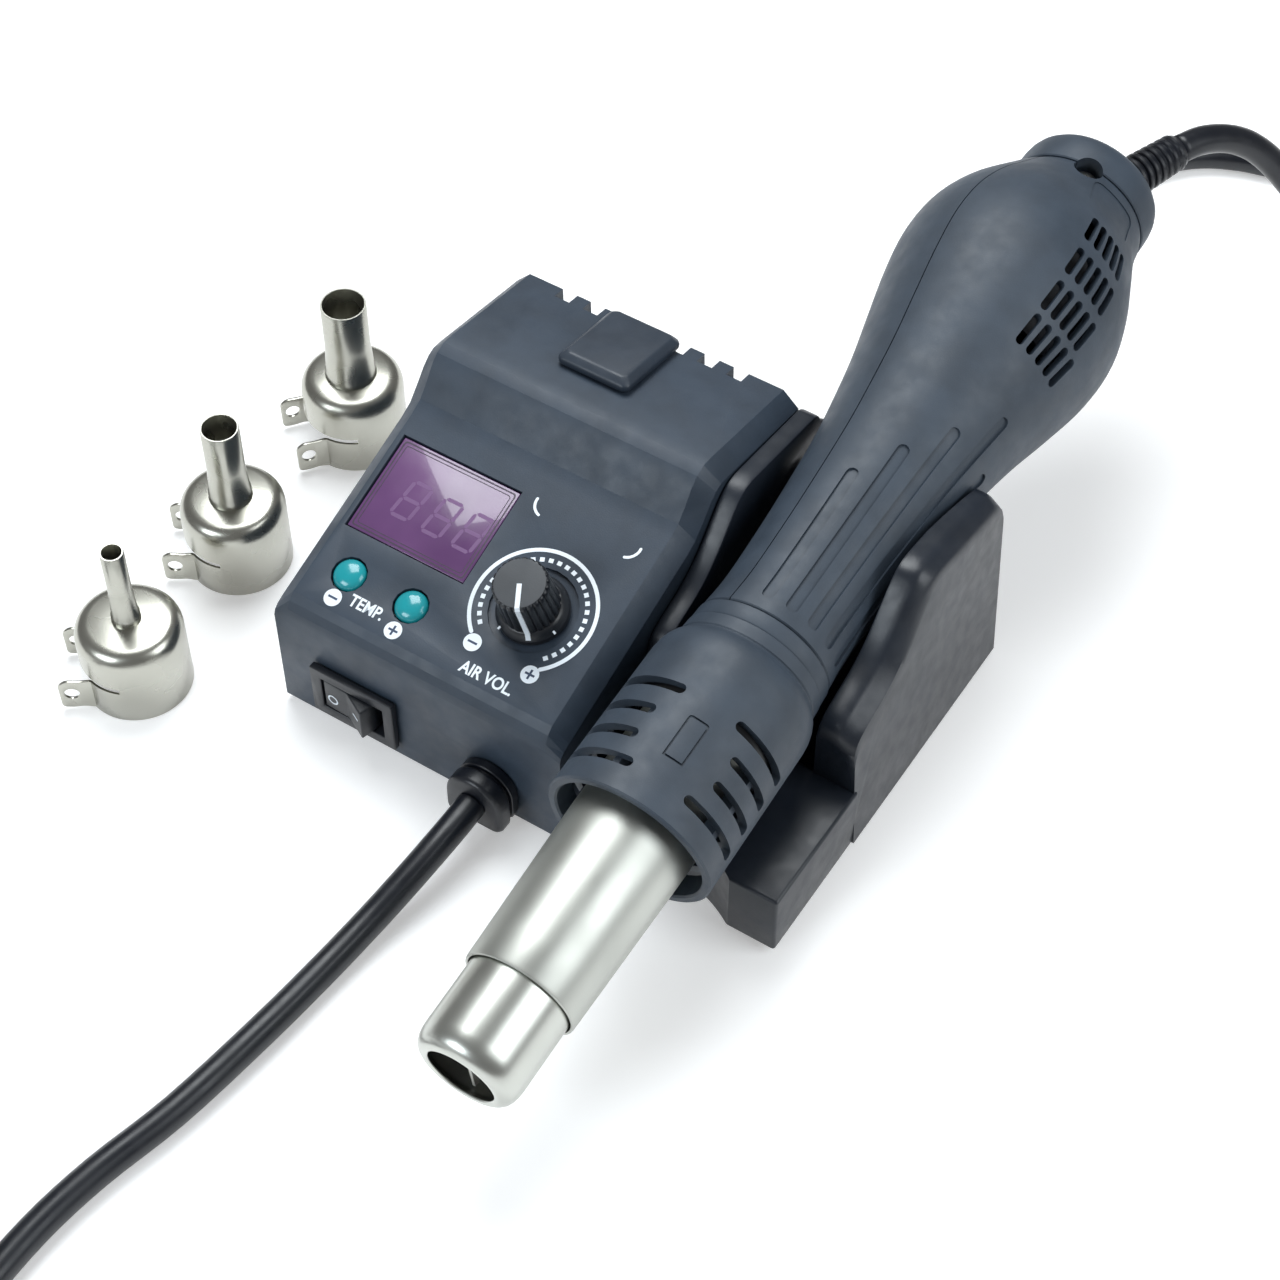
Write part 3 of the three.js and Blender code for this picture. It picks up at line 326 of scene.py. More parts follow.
CABLE_BACK = [
    (152.2, 307.8, 3.5), (144.2, 299.2, 3.5), (136.4, 289.8, 3.5), (128.8, 280.3, 3.5),
    (120.4, 272, 3.5), (110.6, 267, 3.5), (100.4, 264.1, 3.5), (91.6, 259.6, 3.5),
    (84.6, 252.6, 3.5), (79.6, 243.6, 3.5), (76, 233, 3.5), (73.3, 221, 3.5),
    (72.4, 207.5, 3.5), (73.4, 193.5, 3.5), (75.2, 181, 3.5), (76.7, 171.5, 3.5),
    (77.3, 161, 3.5), (77, 150, 3.5), (75.9, 142.4, 3.5), (72.6, 135.5, 3.5), (67.5, 129.9, 3.7),
    (61, 126, 4.2), (54.5, 122.1, 5.3), (49.4, 116.5, 7.4), (46.1, 109.6, 9.8),
    (45, 103.5, 10.9), (45, 99.5, 11),
]


def coil_turns(centre, start, stop, slots):
    """Points of a coil's turns. slots gives (turn, radius, height) knots along the winding."""
    points = []
    step = math.radians(10)
    count = max(2, round(abs(stop - start) / step))
    for i in range(1, count):
        a = start + (stop - start) * i / count
        turn = abs(a - start) / (2 * math.pi)
        for (t0, r0, z0), (t1, r1, z1) in zip(slots, slots[1:]):
            if t0 <= turn <= t1:
                u = (turn - t0) / (t1 - t0)
                u = u * u * (3 - 2 * u)
                r, z = r0 + (r1 - r0) * u, z0 + (z1 - z0) * u
                break
        points.append((centre[0] + r * math.cos(a), centre[1] + r * math.sin(a), z))
    return points


def mains_path():
    d = MAINS_D
    low, high = 3.4, 3.4 + LAYER_RISE * d
    inner, outer = COIL_R - 0.5 * d, COIL_R + 0.5 * d
    slots = [(0, 45.2, low), (0.16, outer, low), (0.92, outer, low), (1.12, inner, low),
             (1.9, inner, low), (2.12, inner, high), (2.8, inner, high), (3.0, outer, high),
             (3.15, outer, high), (3.5, 45.2, low)]
    turns = coil_turns((-6, -165), math.radians(6), math.radians(-173.6 - 1080), slots)
    return smooth_path(MAINS_OUT + turns + MAINS_TAIL, 4)


def cable_path():
    d = CABLE_D
    low, high = 3.5, 3.5 + LAYER_RISE * d
    inner, outer = COIL_R - 0.5 * d, COIL_R + 0.5 * d
    slots = [(0, 45, low), (0.16, outer, low), (0.9, outer, low), (1.1, inner, low),
             (1.7, inner, low), (1.92, inner, high), (2.12, outer, high), (2.3, outer, high),
             (2.66, 45, low)]
    turns = coil_turns((184, 276), math.radians(-101.5), math.radians(135 + 720), slots)
    return smooth_path(CABLE_OUT + turns + CABLE_BACK, 4)


def add_cord(name, path, diameter):
    obj = sweep(name, path, diameter / 2)
    return obj


# ------------------------------------------------------------------ materials
def principled(name):
    mat = bpy.data.materials.new(name)
    mat.use_nodes = True
    tree = mat.node_tree
    return mat, tree, tree.nodes["Principled BSDF"]


def noise(tree, size_mm, detail=2.0, stretch=(1, 1, 1)):
    """Noise node with grains of about size_mm, in the object's own coordinates."""
    coords = tree.nodes.new("ShaderNodeTexCoord")
    mapping = tree.nodes.new("ShaderNodeMapping")
    mapping.inputs["Scale"].default_value = stretch
    texture = tree.nodes.new("ShaderNodeTexNoise")
    texture.inputs["Scale"].default_value = 1 / (size_mm * MM)
    texture.inputs["Detail"].default_value = detail
    tree.links.new(coords.outputs["Object"], mapping.inputs["Vector"])
    tree.links.new(mapping.outputs["Vector"], texture.inputs["Vector"])
    return texture


def spread(tree, texture, low, high, target):
    """Sends a noise to a socket, spread between two values."""
    span = tree.nodes.new("ShaderNodeMapRange")
    span.inputs["From Min"].default_value = 0.3
    span.inputs["From Max"].default_value = 0.7
    span.inputs["To Min"].default_value = low
    span.inputs["To Max"].default_value = high
    tree.links.new(texture.outputs["Fac"], span.inputs["Value"])
    tree.links.new(span.outputs["Result"], target)


def tint(tree, texture, dark, light, target):
    """Sends a noise to a colour socket, from one colour to another."""
    ramp = tree.nodes.new("ShaderNodeValToRGB")
    ramp.color_ramp.elements[0].position = 0.35
    ramp.color_ramp.elements[1].position = 0.65
    ramp.color_ramp.elements[0].color = (*dark, 1)
    ramp.color_ramp.elements[1].color = (*light, 1)
    tree.links.new(texture.outputs["Fac"], ramp.inputs["Fac"])
    tree.links.new(ramp.outputs["Color"], target)


def bump(tree, shader, texture, height_mm, strength=1.0):
    node = tree.nodes.new("ShaderNodeBump")
    node.inputs["Strength"].default_value = strength
    node.inputs["Distance"].default_value = height_mm * MM
    tree.links.new(texture.outputs["Fac"], node.inputs["Height"])
    tree.links.new(node.outputs["Normal"], shader.inputs["Normal"])


def moulded(name, color, roughness, grain_mm=0.35, grain_height=0.02, variation=0.12, coat=0.0):
    """Moulded plastic or rubber: fine texture, uneven sheen and a little colour drift."""
    mat, tree, shader = principled(name)
    dark = [c * (1 - variation) for c in color]
    light = [c * (1 + variation) for c in color]
    tint(tree, noise(tree, 9, 4), dark, light, shader.inputs["Base Color"])
    spread(tree, noise(tree, 4, 3), roughness - 0.05, roughness + 0.07, shader.inputs["Roughness"])
    bump(tree, shader, noise(tree, grain_mm, 3), grain_height)
    shader.inputs["IOR"].default_value = 1.5
    shader.inputs["Coat Weight"].default_value = coat
    return mat


def metal(name, color, roughness, stretch=(1, 1, 1), line_mm=0.4, depth=0.004, drift=0.06):
    """Bare metal with fine drawing lines and cloudy sheen."""
    mat, tree, shader = principled(name)
    shader.inputs["Metallic"].default_value = 1.0
    dark = [c * (1 - drift) for c in color]
    light = [min(1, c * (1 + drift)) for c in color]
    tint(tree, noise(tree, 20, 3), dark, light, shader.inputs["Base Color"])
    spread(tree, noise(tree, 11, 2), roughness * 0.92, roughness * 1.12, shader.inputs["Roughness"])
    bump(tree, shader, noise(tree, line_mm, 2, stretch), depth)
    return mat


HOUSING_LOOK = moulded("housing_plastic", (0.030, 0.044, 0.065), 0.48, 0.3, 0.022)
CRADLE_LOOK = moulded("cradle_plastic", (0.011, 0.015, 0.023), 0.36, 0.5, 0.012)
HANDLE_LOOK = moulded("handle_plastic", (0.036, 0.050, 0.070), 0.52, 0.3, 0.018)
BLACK_LOOK = moulded("black_plastic", (0.012, 0.014, 0.019), 0.38, 0.5, 0.01)
KNOB_TOP_LOOK = moulded("knob_top", (0.050, 0.055, 0.062), 0.5, 0.25, 0.02)
KNOB_LOOK = moulded("knob_plastic", (0.012, 0.014, 0.018), 0.33, 0.6, 0.006)
PAD_LOOK = moulded("pad_rubber", (0.022, 0.032, 0.048), 0.44, 0.3, 0.015)
FOOT_LOOK = moulded("foot_rubber", (0.015, 0.015, 0.016), 0.75, 0.3, 0.02)
CORD_LOOK = moulded("cord_rubber", (0.0045, 0.0060, 0.0105), 0.34, 0.8, 0.01)
TEAL_LOOK = moulded("button_teal", (0.010, 0.300, 0.340), 0.22, 1.5, 0.004, 0.05, 0.5)
PRINT_LOOK = moulded("white_print", (0.80, 0.86, 0.92), 0.5, 0.3, 0.004, 0.03)
MARK_LOOK = moulded("dark_sign", (0.03, 0.05, 0.10), 0.5, 0.3, 0.004, 0.05)
BOARD_LOOK = moulded("circuit_board", (0.020, 0.150, 0.080), 0.4, 0.6, 0.01)
CERAMIC_LOOK = moulded("heater_ceramic", (0.030, 0.028, 0.026), 0.8, 0.3, 0.03)
MICA_LOOK = moulded("mica", (0.62, 0.60, 0.55), 0.4, 0.6, 0.02)
ZINC_LOOK = metal("zinc_steel", (0.62, 0.62, 0.60), 0.35)
TUBE_LOOK = metal("barrel_steel", (0.50, 0.51, 0.475), 0.42, (4, 0.2, 4), 0.8, 0.0012, 0.03)
NOSE_LOOK = metal("nose_steel", (0.56, 0.57, 0.53), 0.3, (1, 1, 1), 0.9, 0.001, 0.03)
NICKEL_LOOK = metal("nozzle_nickel", (0.46, 0.455, 0.405), 0.27, (1, 1, 1), 0.9, 0.001, 0.03)


def lens_material():
    mat, tree, shader = principled("display_lens")
    dark, light = (0.105, 0.042, 0.130), (0.140, 0.060, 0.168)
    tint(tree, noise(tree, 14, 2), dark, light, shader.inputs["Base Color"])
    spread(tree, noise(tree, 5, 3), 0.16, 0.26, shader.inputs["Roughness"])
    shader.inputs["Coat Weight"].default_value = 0.6
    return mat


LENS_LOOK = lens_material()
SEGMENT_LOOK = moulded("display_segment", (0.142, 0.060, 0.172), 0.3, 1, 0.002, 0.04)
BORDER_LOOK = moulded("display_border", (0.030, 0.014, 0.038), 0.35, 1, 0.002, 0.04)


# ------------------------------------------------------------------ cords and plug
def cord_pieces():
    mains = mains_path()
    plug = finish_piece(soften(copy_of("mains_plug"), 0.5, 25), CORD_LOOK, "station",
                        ["mains_plug"])
    cord = add_cord("mains_lead", mains, MAINS_D)
    finish_piece(cord, CORD_LOOK, "station", ["mains_cord", "mains_coil", "mains_tail"])
    cable = add_cord("handle_lead", cable_path(), CABLE_D)
    cable.data.materials.append(CORD_LOOK)
    cable.data.shade_smooth()
    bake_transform(cable)
    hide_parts("handle_cable", "cable_coil", "return_cable")


cord_pieces()


# ------------------------------------------------------------------ control box
def bush(node, at):
    """Rubber block with a groove round it, moulded on the cord where it enters the box."""
    def outline(scale):
        top = [(6.9 * math.cos(math.pi * i / 24), 7.0 * math.sin(math.pi * i / 24))
               for i in range(25)]
        low = [(-6.9, -4.6), (-6.7, -5.8), (-6.1, -6.5), (-5.2, -6.8), (5.2, -6.8), (6.1, -6.5),
               (6.7, -5.8), (6.9, -4.6)]
        return [(u * scale, v * scale) for u, v in top + low]
    steps = [(0.93, 0.3), (0.97, 0.5), (0.97, 2.2), (0.95, 2.4), (0.84, 2.5), (0.84, 3.3),
             (0.97, 3.4), (1.0, 3.7), (1.0, 6.0), (0.98, 6.5), (0.94, 6.95), (0.88, 7.2)]
    rings = [[(u, v, z) for u, v in outline(scale)] for scale, z in steps]
    finish_piece(loft(node + "_block", rings, at), CORD_LOOK, "station", [node])
    collar = lathe(node + "_collar", [(0, -5.4), (5.9, -5.4), (5.6, -3.0), (4.6, -3.0), (4.6, 0.5),
                                      (0, 0.5)], at, 48)
    finish_piece(collar, CORD_LOOK, "station")


def box_pieces():
    finish_piece(soften(copy_of("housing"), 0.55, 14), HOUSING_LOOK, "station", ["housing"],
                 40)
    finish_piece(soften(copy_of("top_pad"), 0.45, 14), PAD_LOOK, "station", ["top_pad"])
    bush("cord_bush", shifted(FRONT, 53.9, 10, 0))
    bush("cable_gland", frame_of((45, 92, 11), (-1, 0, 0), (0, 0, 1)))
    finish_piece(soften(copy_of("switch_housing"), 0.3, 20), BLACK_LOOK, "station",
                 ["switch_housing"])
    finish_piece(soften(copy_of("rocker"), 0.35, 12), BLACK_LOOK, "rocker", ["rocker"])


box_pieces()


def button(name, x):
    profile = [(0, 1.12), (1.0, 1.07), (1.9, 0.9), (2.6, 0.62), (3.15, 0.22), (3.45, -0.2),
               (3.6, -0.7), (3.6, -2.5), (4.6, -2.5), (4.6, -3.4), (1.5, -3.4), (1.5, -6.9),
               (0, -6.9)]
    obj = lathe(name + "_cap", profile, shifted(PANEL, x, 10.05, 0), 64)
    finish_piece(obj, TEAL_LOOK, name, [name])


button("button_minus", 12.1)
button("button_plus", 27.6)

DIAL_CENTRE = (50.8, 21.0)
DIAL = shifted(PANEL, *DIAL_CENTRE, 0)
POINTER_ANGLE = math.radians(-63)
FLUTES = 24


def knob():
    def outline(r, h):
        ring = []
        for i in range(FLUTES * 6):
            a = 2 * math.pi * i / (FLUTES * 6)
            wave = abs(math.sin(a * FLUTES / 2))
            reach = r - 0.42 * (1 - wave) ** 2
            ring.append((reach * math.cos(a), reach * math.sin(a), h))
        return ring
    rings = [outline(6.35, 1.6), outline(6.3, 3), outline(6.0, 11.6), outline(5.95, 12.3),
             outline(5.8, 12.9), outline(5.5, 13.15), outline(5.2, 13.2)]
    grip = loft("knob_grip", rings, DIAL)
    finish_piece(grip, KNOB_LOOK, "knob", ["knob"], 38)
    disc = lathe("knob_top", [(0, 13.16), (5.1, 13.16), (5.35, 13.2), (5.3, 13.27), (4.9, 13.3),
                              (0, 13.3)], DIAL, 72)
    finish_piece(disc, KNOB_TOP_LOOK, "knob")
    skirt = lathe("knob_skirt", [(0, -0.5), (7.5, -0.5), (7.7, -0.3), (7.72, 0.7), (7.55, 1.1),
                                 (6.9, 2.1), (6.5, 2.6), (6.2, 2.75), (0, 2.75)], DIAL)
    finish_piece(skirt, KNOB_LOOK, "knob")
    along = shifted(PANEL, *DIAL_CENTRE, 0, POINTER_ANGLE)
    side = [(0.2, 13.2), (5.3, 13.2), (5.75, 12.7), (6.15, 6), (6.4, 2.2), (6.9, 2.0), (7.35, 1.4),
            (7.5, 1.75), (7.0, 2.55), (6.75, 2.9), (6.45, 6.2), (6.05, 12.9), (5.5, 13.5),
            (0.2, 13.5)]
    upright = along @ frame_of((0, 0.5, 0), (1, 0, 0), (0, 0, 1))
    pointer = prism("knob_pointer", side, 0, 1.0, upright)
    finish_piece(pointer, PRINT_LOOK, "knob")
    tilt = Matrix.Rotation(math.radians(22), 4, "Y")
    for letter, turn in (("a", -52), ("b", 42)):
        at = shifted(PANEL, *DIAL_CENTRE, 0, POINTER_ANGLE + math.radians(turn))
        tick = prism(f"knob_tick_{letter}",
                     [(6.6, -0.22), (7.3, -0.22), (7.3, 0.22), (6.6, 0.22)], 2.0, 2.35,
                     at @ tilt @ Matrix.Translation((-0.45, 0, 2.55)))
        finish_piece(tick, PRINT_LOOK, "knob")


knob()


# ------------------------------------------------------------------ panel print
PRINT_H = 0.03


def flat_piece(name, outline, look, height=PRINT_H, lift=0.0, matrix=PANEL):
    obj = prism(name, outline, lift, lift + height, matrix)
    finish_piece(obj, look, "station")


def arc_band(centre, r0, r1, start, stop, steps=64):
    """Outline of a ring sector with round ends, angles in degrees."""
    cx, cy = centre
    mid, half = (r0 + r1) / 2, (r1 - r0) / 2
    a0, a1 = math.radians(start), math.radians(stop)
    way = 1 if a1 > a0 else -1
    points = []
    for i in range(steps + 1):
        a = a0 + (a1 - a0) * i / steps
        points.append((cx + r1 * math.cos(a), cy + r1 * math.sin(a)))
    for i in range(1, 6):
        b = a1 + way * math.pi * i / 6
        points.append((cx + mid * math.cos(a1) + half * math.cos(b),
                       cy + mid * math.sin(a1) + half * math.sin(b)))
    for i in range(steps + 1):
        a = a1 + (a0 - a1) * i / steps
        points.append((cx + r0 * math.cos(a), cy + r0 * math.sin(a)))
    for i in range(1, 6):
        b = a0 + math.pi + way * math.pi * i / 6
        points.append((cx + mid * math.cos(a0) + half * math.cos(b),
                       cy + mid * math.sin(a0) + half * math.sin(b)))
    return points


def sign_disc(name, x, s, plus):
    disc = [(x + u, s + v) for u, v in circle(1.95, 48)]
    flat_piece(name, disc, PRINT_LOOK)
    bar = [(x - 1.1, s - 0.24), (x + 1.1, s - 0.24), (x + 1.1, s + 0.24), (x - 1.1, s + 0.24)]
    flat_piece(name + "_bar", bar, MARK_LOOK, 0.02, PRINT_H)
    if plus:
        post = [(x - 0.24, s - 1.1), (x + 0.24, s - 1.1), (x + 0.24, s + 1.1), (x - 0.24, s + 1.1)]
        flat_piece(name + "_post", post, MARK_LOOK, 0.025, PRINT_H)


def word(name, text, x, s, size):
    """A word centred on a point of the panel; size is the letters' height in millimetres."""
    curve = bpy.data.curves.new(name, "FONT")
    curve.body = text
    curve.align_x = "CENTER"
    curve.align_y = "CENTER"
    curve.size = size * 1.42
    curve.offset = 0.09
    curve.extrude = PRINT_H / 2
    curve.resolution_u = 6
    temporary = bpy.data.objects.new(name, curve)
    bpy.context.scene.collection.objects.link(temporary)
    bpy.context.view_layer.update()
    graph = bpy.context.evaluated_depsgraph_get()
    mesh = bpy.data.meshes.new_from_object(temporary.evaluated_get(graph))
    bpy.data.objects.remove(temporary)
    narrow = Matrix.Diagonal((0.86, 1, 1, 1))
    mesh.transform(TO_ROW @ shifted(PANEL, x, s, PRINT_H / 2) @ narrow)
    finish_piece(new_object(name, mesh), PRINT_LOOK, "station")


def panel_print():
    flat_piece("dial_arc", arc_band(DIAL_CENTRE, 12.85, 13.7, 228, -52, 96), PRINT_LOOK)
    ticks = 28
    for i in range(ticks):
        a = math.radians(221 - 266 * i / (ticks - 1))
        at = shifted(PANEL, *DIAL_CENTRE, 0, a)
        flat_piece(f"dial_tick_{i:02d}", [(10.65, -0.5), (11.6, -0.5), (11.6, 0.5), (10.65, 0.5)],
                   PRINT_LOOK, matrix=at)
    sign_disc("temp_minus", 11.9, 4.1, False)
    sign_disc("temp_plus", 27.3, 3.8, True)
    sign_disc("air_minus", 43.45, 9.2, False)
    sign_disc("air_plus", 57.7, 8.7, True)
    word("word_temp", "TEMP.", 19.6, 5.4, 2.6)
    word("word_air", "AIR VOL.", 50.3, 3.9, 2.6)
    left = arc_band((41.2, 42.2), 2.6, 3.2, 175, 255, 16)
    right = arc_band((60.6, 42.2), 2.6, 3.2, 365, 285, 16)
    flat_piece("corner_mark_left", left, PRINT_LOOK)
    flat_piece("corner_mark_right", right, PRINT_LOOK)


panel_print()


def rocker_signs():
    """A ring on the left wing of the rocker and a dash on its right wing."""
    at = shifted(WORLD, 19.9, 2.5, 12.15, math.radians(-15))
    left = at @ frame_of((-3.9, -5.5, -0.9), (6.1, 1.4, 0), (0, 0, 1))
    ring = lathe("rocker_off", [(0.95, -0.1), (1.35, -0.1), (1.35, 0.05), (0.95, 0.05)], left, 48)
    finish_piece(ring, PRINT_LOOK, "rocker")
    right = at @ frame_of((3.6, -5.43, 0.4), (6.1, -1.4, 0), (0, 0, 1))
    dash = prism("rocker_on", [(-1.1, -0.22), (1.1, -0.22), (1.1, 0.22), (-1.1, 0.22)],
                 -0.1, 0.05, right)
    finish_piece(dash, PRINT_LOOK, "rocker")


rocker_signs()


# ------------------------------------------------------------------ display
SEGMENTS = [((0, 1), (1, 1)), ((1, 1), (1, 0.5)), ((1, 0.5), (1, 0)), ((0, 0), (1, 0)),
            ((0, 0.5), (0, 0)), ((0, 1), (0, 0.5)), ((0, 0.5), (1, 0.5))]


def display():
    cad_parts["display_window"].data.materials.clear()
    window = soften(copy_of("display_window"), 0.25, 30)
    finish_piece(window, LENS_LOOK, "station", ["display_window"])
    for d, (cx, cy) in enumerate([(14.5, 30.1), (22.5, 29.8), (30.1, 29.8)]):
        for k, ((x0, y0), (x1, y1)) in enumerate(SEGMENTS):
            a = Vector((cx + (x0 - 0.5) * 4.4 + (y0 - 0.5) * 1.1, cy + (y0 - 0.5) * 8.4))
            b = Vector((cx + (x1 - 0.5) * 4.4 + (y1 - 0.5) * 1.1, cy + (y1 - 0.5) * 8.4))
            way = (b - a).normalized()
            side = Vector((-way.y, way.x)) * 0.42
            a += way * 0.55
            b -= way * 0.55
            outline = [a - way * 0.4, a + side, b + side, b + way * 0.4, b - side, a - side]
            flat_piece(f"digit_{d}_{k}", [tuple(p) for p in outline], SEGMENT_LOOK, 0.012, -0.5)
    for name, m, w in (("lens_border_outer", 0.9, 0.34), ("lens_border_inner", 1.75, 0.2)):
        x0, x1, y0, y1 = 4.8 + m, 34.7 - m, 19.1 + m, 42.3 - m
        line = prism(name, fillet([(x0, y0), (x1, y0), (x1, y1), (x0, y1)], 0.8, 5),
                     -0.53, -0.485, PANEL)
        boolean(line, prism("in", fillet([(x0 + w, y0 + w), (x1 - w, y0 + w), (x1 - w, y1 - w),
                                          (x0 + w, y1 - w)], 0.6, 5), -1, 1, PANEL))
        finish_piece(line, BORDER_LOOK, "station")


display()


# ------------------------------------------------------------------ cradle
CRADLE_X = (71.5, 75.8, 111.4, 115.8, 122.0)
CRADLE_REAR = 92.8
CREST_LINE = [
    (31.8, 29), (31.9, 31.8), (32.7, 34.2), (34.6, 36.0), (38, 37.3), (43, 38.9), (47.5, 41.2),
    (51.8, 44.8), (55.5, 48.9), (58.4, 52.1), (61.2, 54.1), (64.5, 54.6), (70, 53.8),
    (80, 52.15), (88.5, 50.75), (90.6, 50.2), (92, 49), (92.7, 47.2), (92.8, 44),
]
OUTER_LINE = [
    (31.8, 27), (32.2, 29.6), (33.4, 32.0), (36.2, 33.6), (40, 34.8), (44.4, 36.2), (49.2, 38.6),
    (53.8, 42.4), (57.4, 46.3), (60.3, 49.6), (62.6, 51.2), (65.2, 51.7), (71, 50.9),
    (80, 49.4), (88, 47.9), (90.4, 47.2), (91.9, 46), (92.7, 44.2), (92.8, 41),
]


def smooth_line(points, per_span=5):
    line = smooth_path([(y, z, 0) for y, z in points], per_span)
    return [(31.8, 1.5)] + [(v.x, v.y) for v in line] + [(CRADLE_REAR, 1.5)]


def handle_sweep():
    """Everything the handle passes through when it is lifted straight out."""
    stations = [(-30, 19.2), (-12, 19.0), (24, 18.7), (26, 18.5), (27.6, 18.1), (28.9, 17.5),
                (29.9, 16.7), (31, 16.4), (37.7, 15.9)]
    stations += [(t, knot_value(t, 1) + 0.5) for t in range(38, 126, 3)]
    profile = [(0, -30)] + [(r, t) for t, r in stations] + [(0, stations[-1][0])]
    tool = lathe("sweep", profile, HANDLE, 128)
    plan = [(r, t) for t, r in stations] + [(-r, t) for t, r in reversed(stations)]
    upward = HANDLE @ frame_of((0, 0, 0), (0, 1, 0), (0, 0, 1))
    return boolean(tool, prism("up", plan, 0, 70, upward), "UNION")


def cradle_pieces():
    x0, left_in, right_in, crest, x1 = CRADLE_X
    line, outer = smooth_line(CREST_LINE), smooth_line(OUTER_LINE)

    def section(x, points, down=0.0):
        return [(x, y, z - (down if z > 20 else 0)) for y, z in points]
    left = loft("cradle_fine", [
        section(x0, line, 0.5), section(x0 + 0.25, line, 0.12), section(x0 + 0.7, line),
        section(left_in - 0.7, line), section(left_in - 0.2, line, 0.15),
        section(left_in, line, 0.6)])
    middle = [((a[0] + b[0]) / 2, (a[1] + b[1]) / 2) for a, b in zip(line, outer)]
    right = loft("right", [
        section(right_in, line, 0.6), section(right_in + 0.2, line, 0.15),
        section(right_in + 0.7, line), section(crest - 1.2, line), section(crest, line, 0.12),
        section(crest + 0.9, line, 0.5), section(crest + 2.6, middle, 0.35),
        [(x1 - 0.4 - 0.055 * (z - 1.5), y, z + (0.5 if z > 20 else 0)) for y, z in outer],
        [(x1 - 0.055 * (z - 1.5), y, z - (0.9 if z > 20 else 0)) for y, z in outer]])
    body = boolean(left, right, "UNION")
    shelf = soften(box_tool(x0, x1 - 0.4, 0.6, 32.8, 1.5, 18.5), 0.7, 30)
    boolean(body, shelf, "UNION")
    boolean(body, box_tool(x0 + 2, right_in + 2, 31.8, 60, 1.6, 6.1), "UNION")
    boolean(body, box_tool(x0 + 2, right_in + 2, 52, CRADLE_REAR, 1.6, 33), "UNION")
    boolean(body, handle_sweep())
    boolean(body, prism("bay", circle(30.9, 144), 0, 30, shifted(WORLD, 93.5, -25.1, 0)))
    rear = CRADLE_REAR - 2.8
    for tool in ((x0 + 2, x1 - 2.1, 8.7, CRADLE_REAR - 2.1, 0, 4.1),
                 (x0 + 2.5, x1 - 3, 9, 29.8, 0, 13.2),
                 (left_in + 2.2, right_in - 1.9, 54, rear, 0, 24),
                 (right_in + 2, x1 - 3.6, 34, rear, 0, 31)):
        boolean(body, box_tool(*tool))
    side = frame_of((0, 0, 0), (0, 1, 0), (0, 0, 1))
    for y, z in ((38, 22), (46, 13)):
        at = shifted(side, y, z, 0)
        boolean(body, prism("hole", circle(1.8, 24), x0 - 1.5, x0 + 8.5, at))
        boolean(body, prism("hole", circle(3.1, 32), left_in - 1.5, x0 + 8.5, at))
    finish_piece(body, CRADLE_LOOK, "station", ["cradle"], 32)


# ------------------------------------------------------------------ handle shells
SHELL_KNOTS = [
    (38, 15.2, 0), (46, 14.7, 0), (57, 15.0, 0), (68, 15.6, 0), (86, 17.1, 0), (98, 18.9, 0),
    (108, 20.75, 0), (119, 23.4, 0), (130, 25.8, 0.2), (140, 26.7, 0.9), (149, 25.4, 1.8),
    (157, 22.5, 2.1), (164.5, 18.8, 1.4), (170.3, 16.4, 0),
]
SHIFT_UP = 0.37
SHIFT_SIDE = -0.93
SEAM_ANGLE = 119
SHELL_COUNT = 120


def knot_value(t, column):
    """Smooth value between the shell's knots at station t."""
    knots = SHELL_KNOTS
    k = max(i for i in range(len(knots) - 1) if knots[i][0] <= t or i == 0)
    p = [knots[max(k - 1, 0)], knots[k], knots[k + 1], knots[min(k + 2, len(knots) - 1)]]
    span = p[2][0] - p[1][0]
    u = (t - p[1][0]) / span

    def slope(a, b):
        return (p[b][column] - p[a][column]) / max(p[b][0] - p[a][0], 1e-6) * span
    m0, m1 = slope(0, 2), slope(1, 3)
    v0, v1 = p[1][column], p[2][column]
    return ((2 * u ** 3 - 3 * u ** 2 + 1) * v0 + (u ** 3 - 2 * u ** 2 + u) * m0
            + (3 * u ** 2 - 2 * u ** 3) * v1 + (u ** 3 - u ** 2) * m1)


def shell_loft(shrink, first=38.0, extend=0.0, count=SHELL_COUNT):
    rings = []
    stations = [first + (170.3 - first) * i / 66 for i in range(67)]
    for i, t in enumerate(stations):
        r, shift = knot_value(t, 1) - shrink, knot_value(t, 2)
        edge = 0.35 if shrink == 0 and i in (0, len(stations) - 1) else 0.0
        if extend and i == 0:
            rings.append([(u, v, t - extend) for u, v in circle(r, count)])
        rings.append([(u + SHIFT_UP * shift, v + SHIFT_SIDE * shift, t)
                      for u, v in circle(r - edge, count)])
        if edge and i == 0:
            rings.append([(u, v, t + 0.35) for u, v in circle(knot_value(t + 0.35, 1), count)])
        if extend and i == len(stations) - 1:
            rings.append([(u, v, t + extend) for u, v in circle(r, count)])
    return loft("shell", rings, HANDLE)


def stadium(length, width, arc=8):
    r = width / 2
    reach = length / 2 - r
    points = []
    for side in (1, -1):
        for i in range(arc + 1):
            a = -math.pi / 2 + math.pi * i / arc
            points.append((side * (reach + r * math.cos(a)), side * r * math.sin(a)))
    return points


VENT_ROWS = [(151.2, 58.8, 32.8), (140.6, 57.8, 32.3), (130.8, 56.8, 30.3), (121.8, 55.8, 25.8)]
GROOVE_START = 41
GRIP_GROOVES = [(93, 76), (72, 86), (51, 96), (30, 106), (9, 96), (-12, 86), (-33, 76)]


CAP_SCREW_AT = radial(169.4, 81)


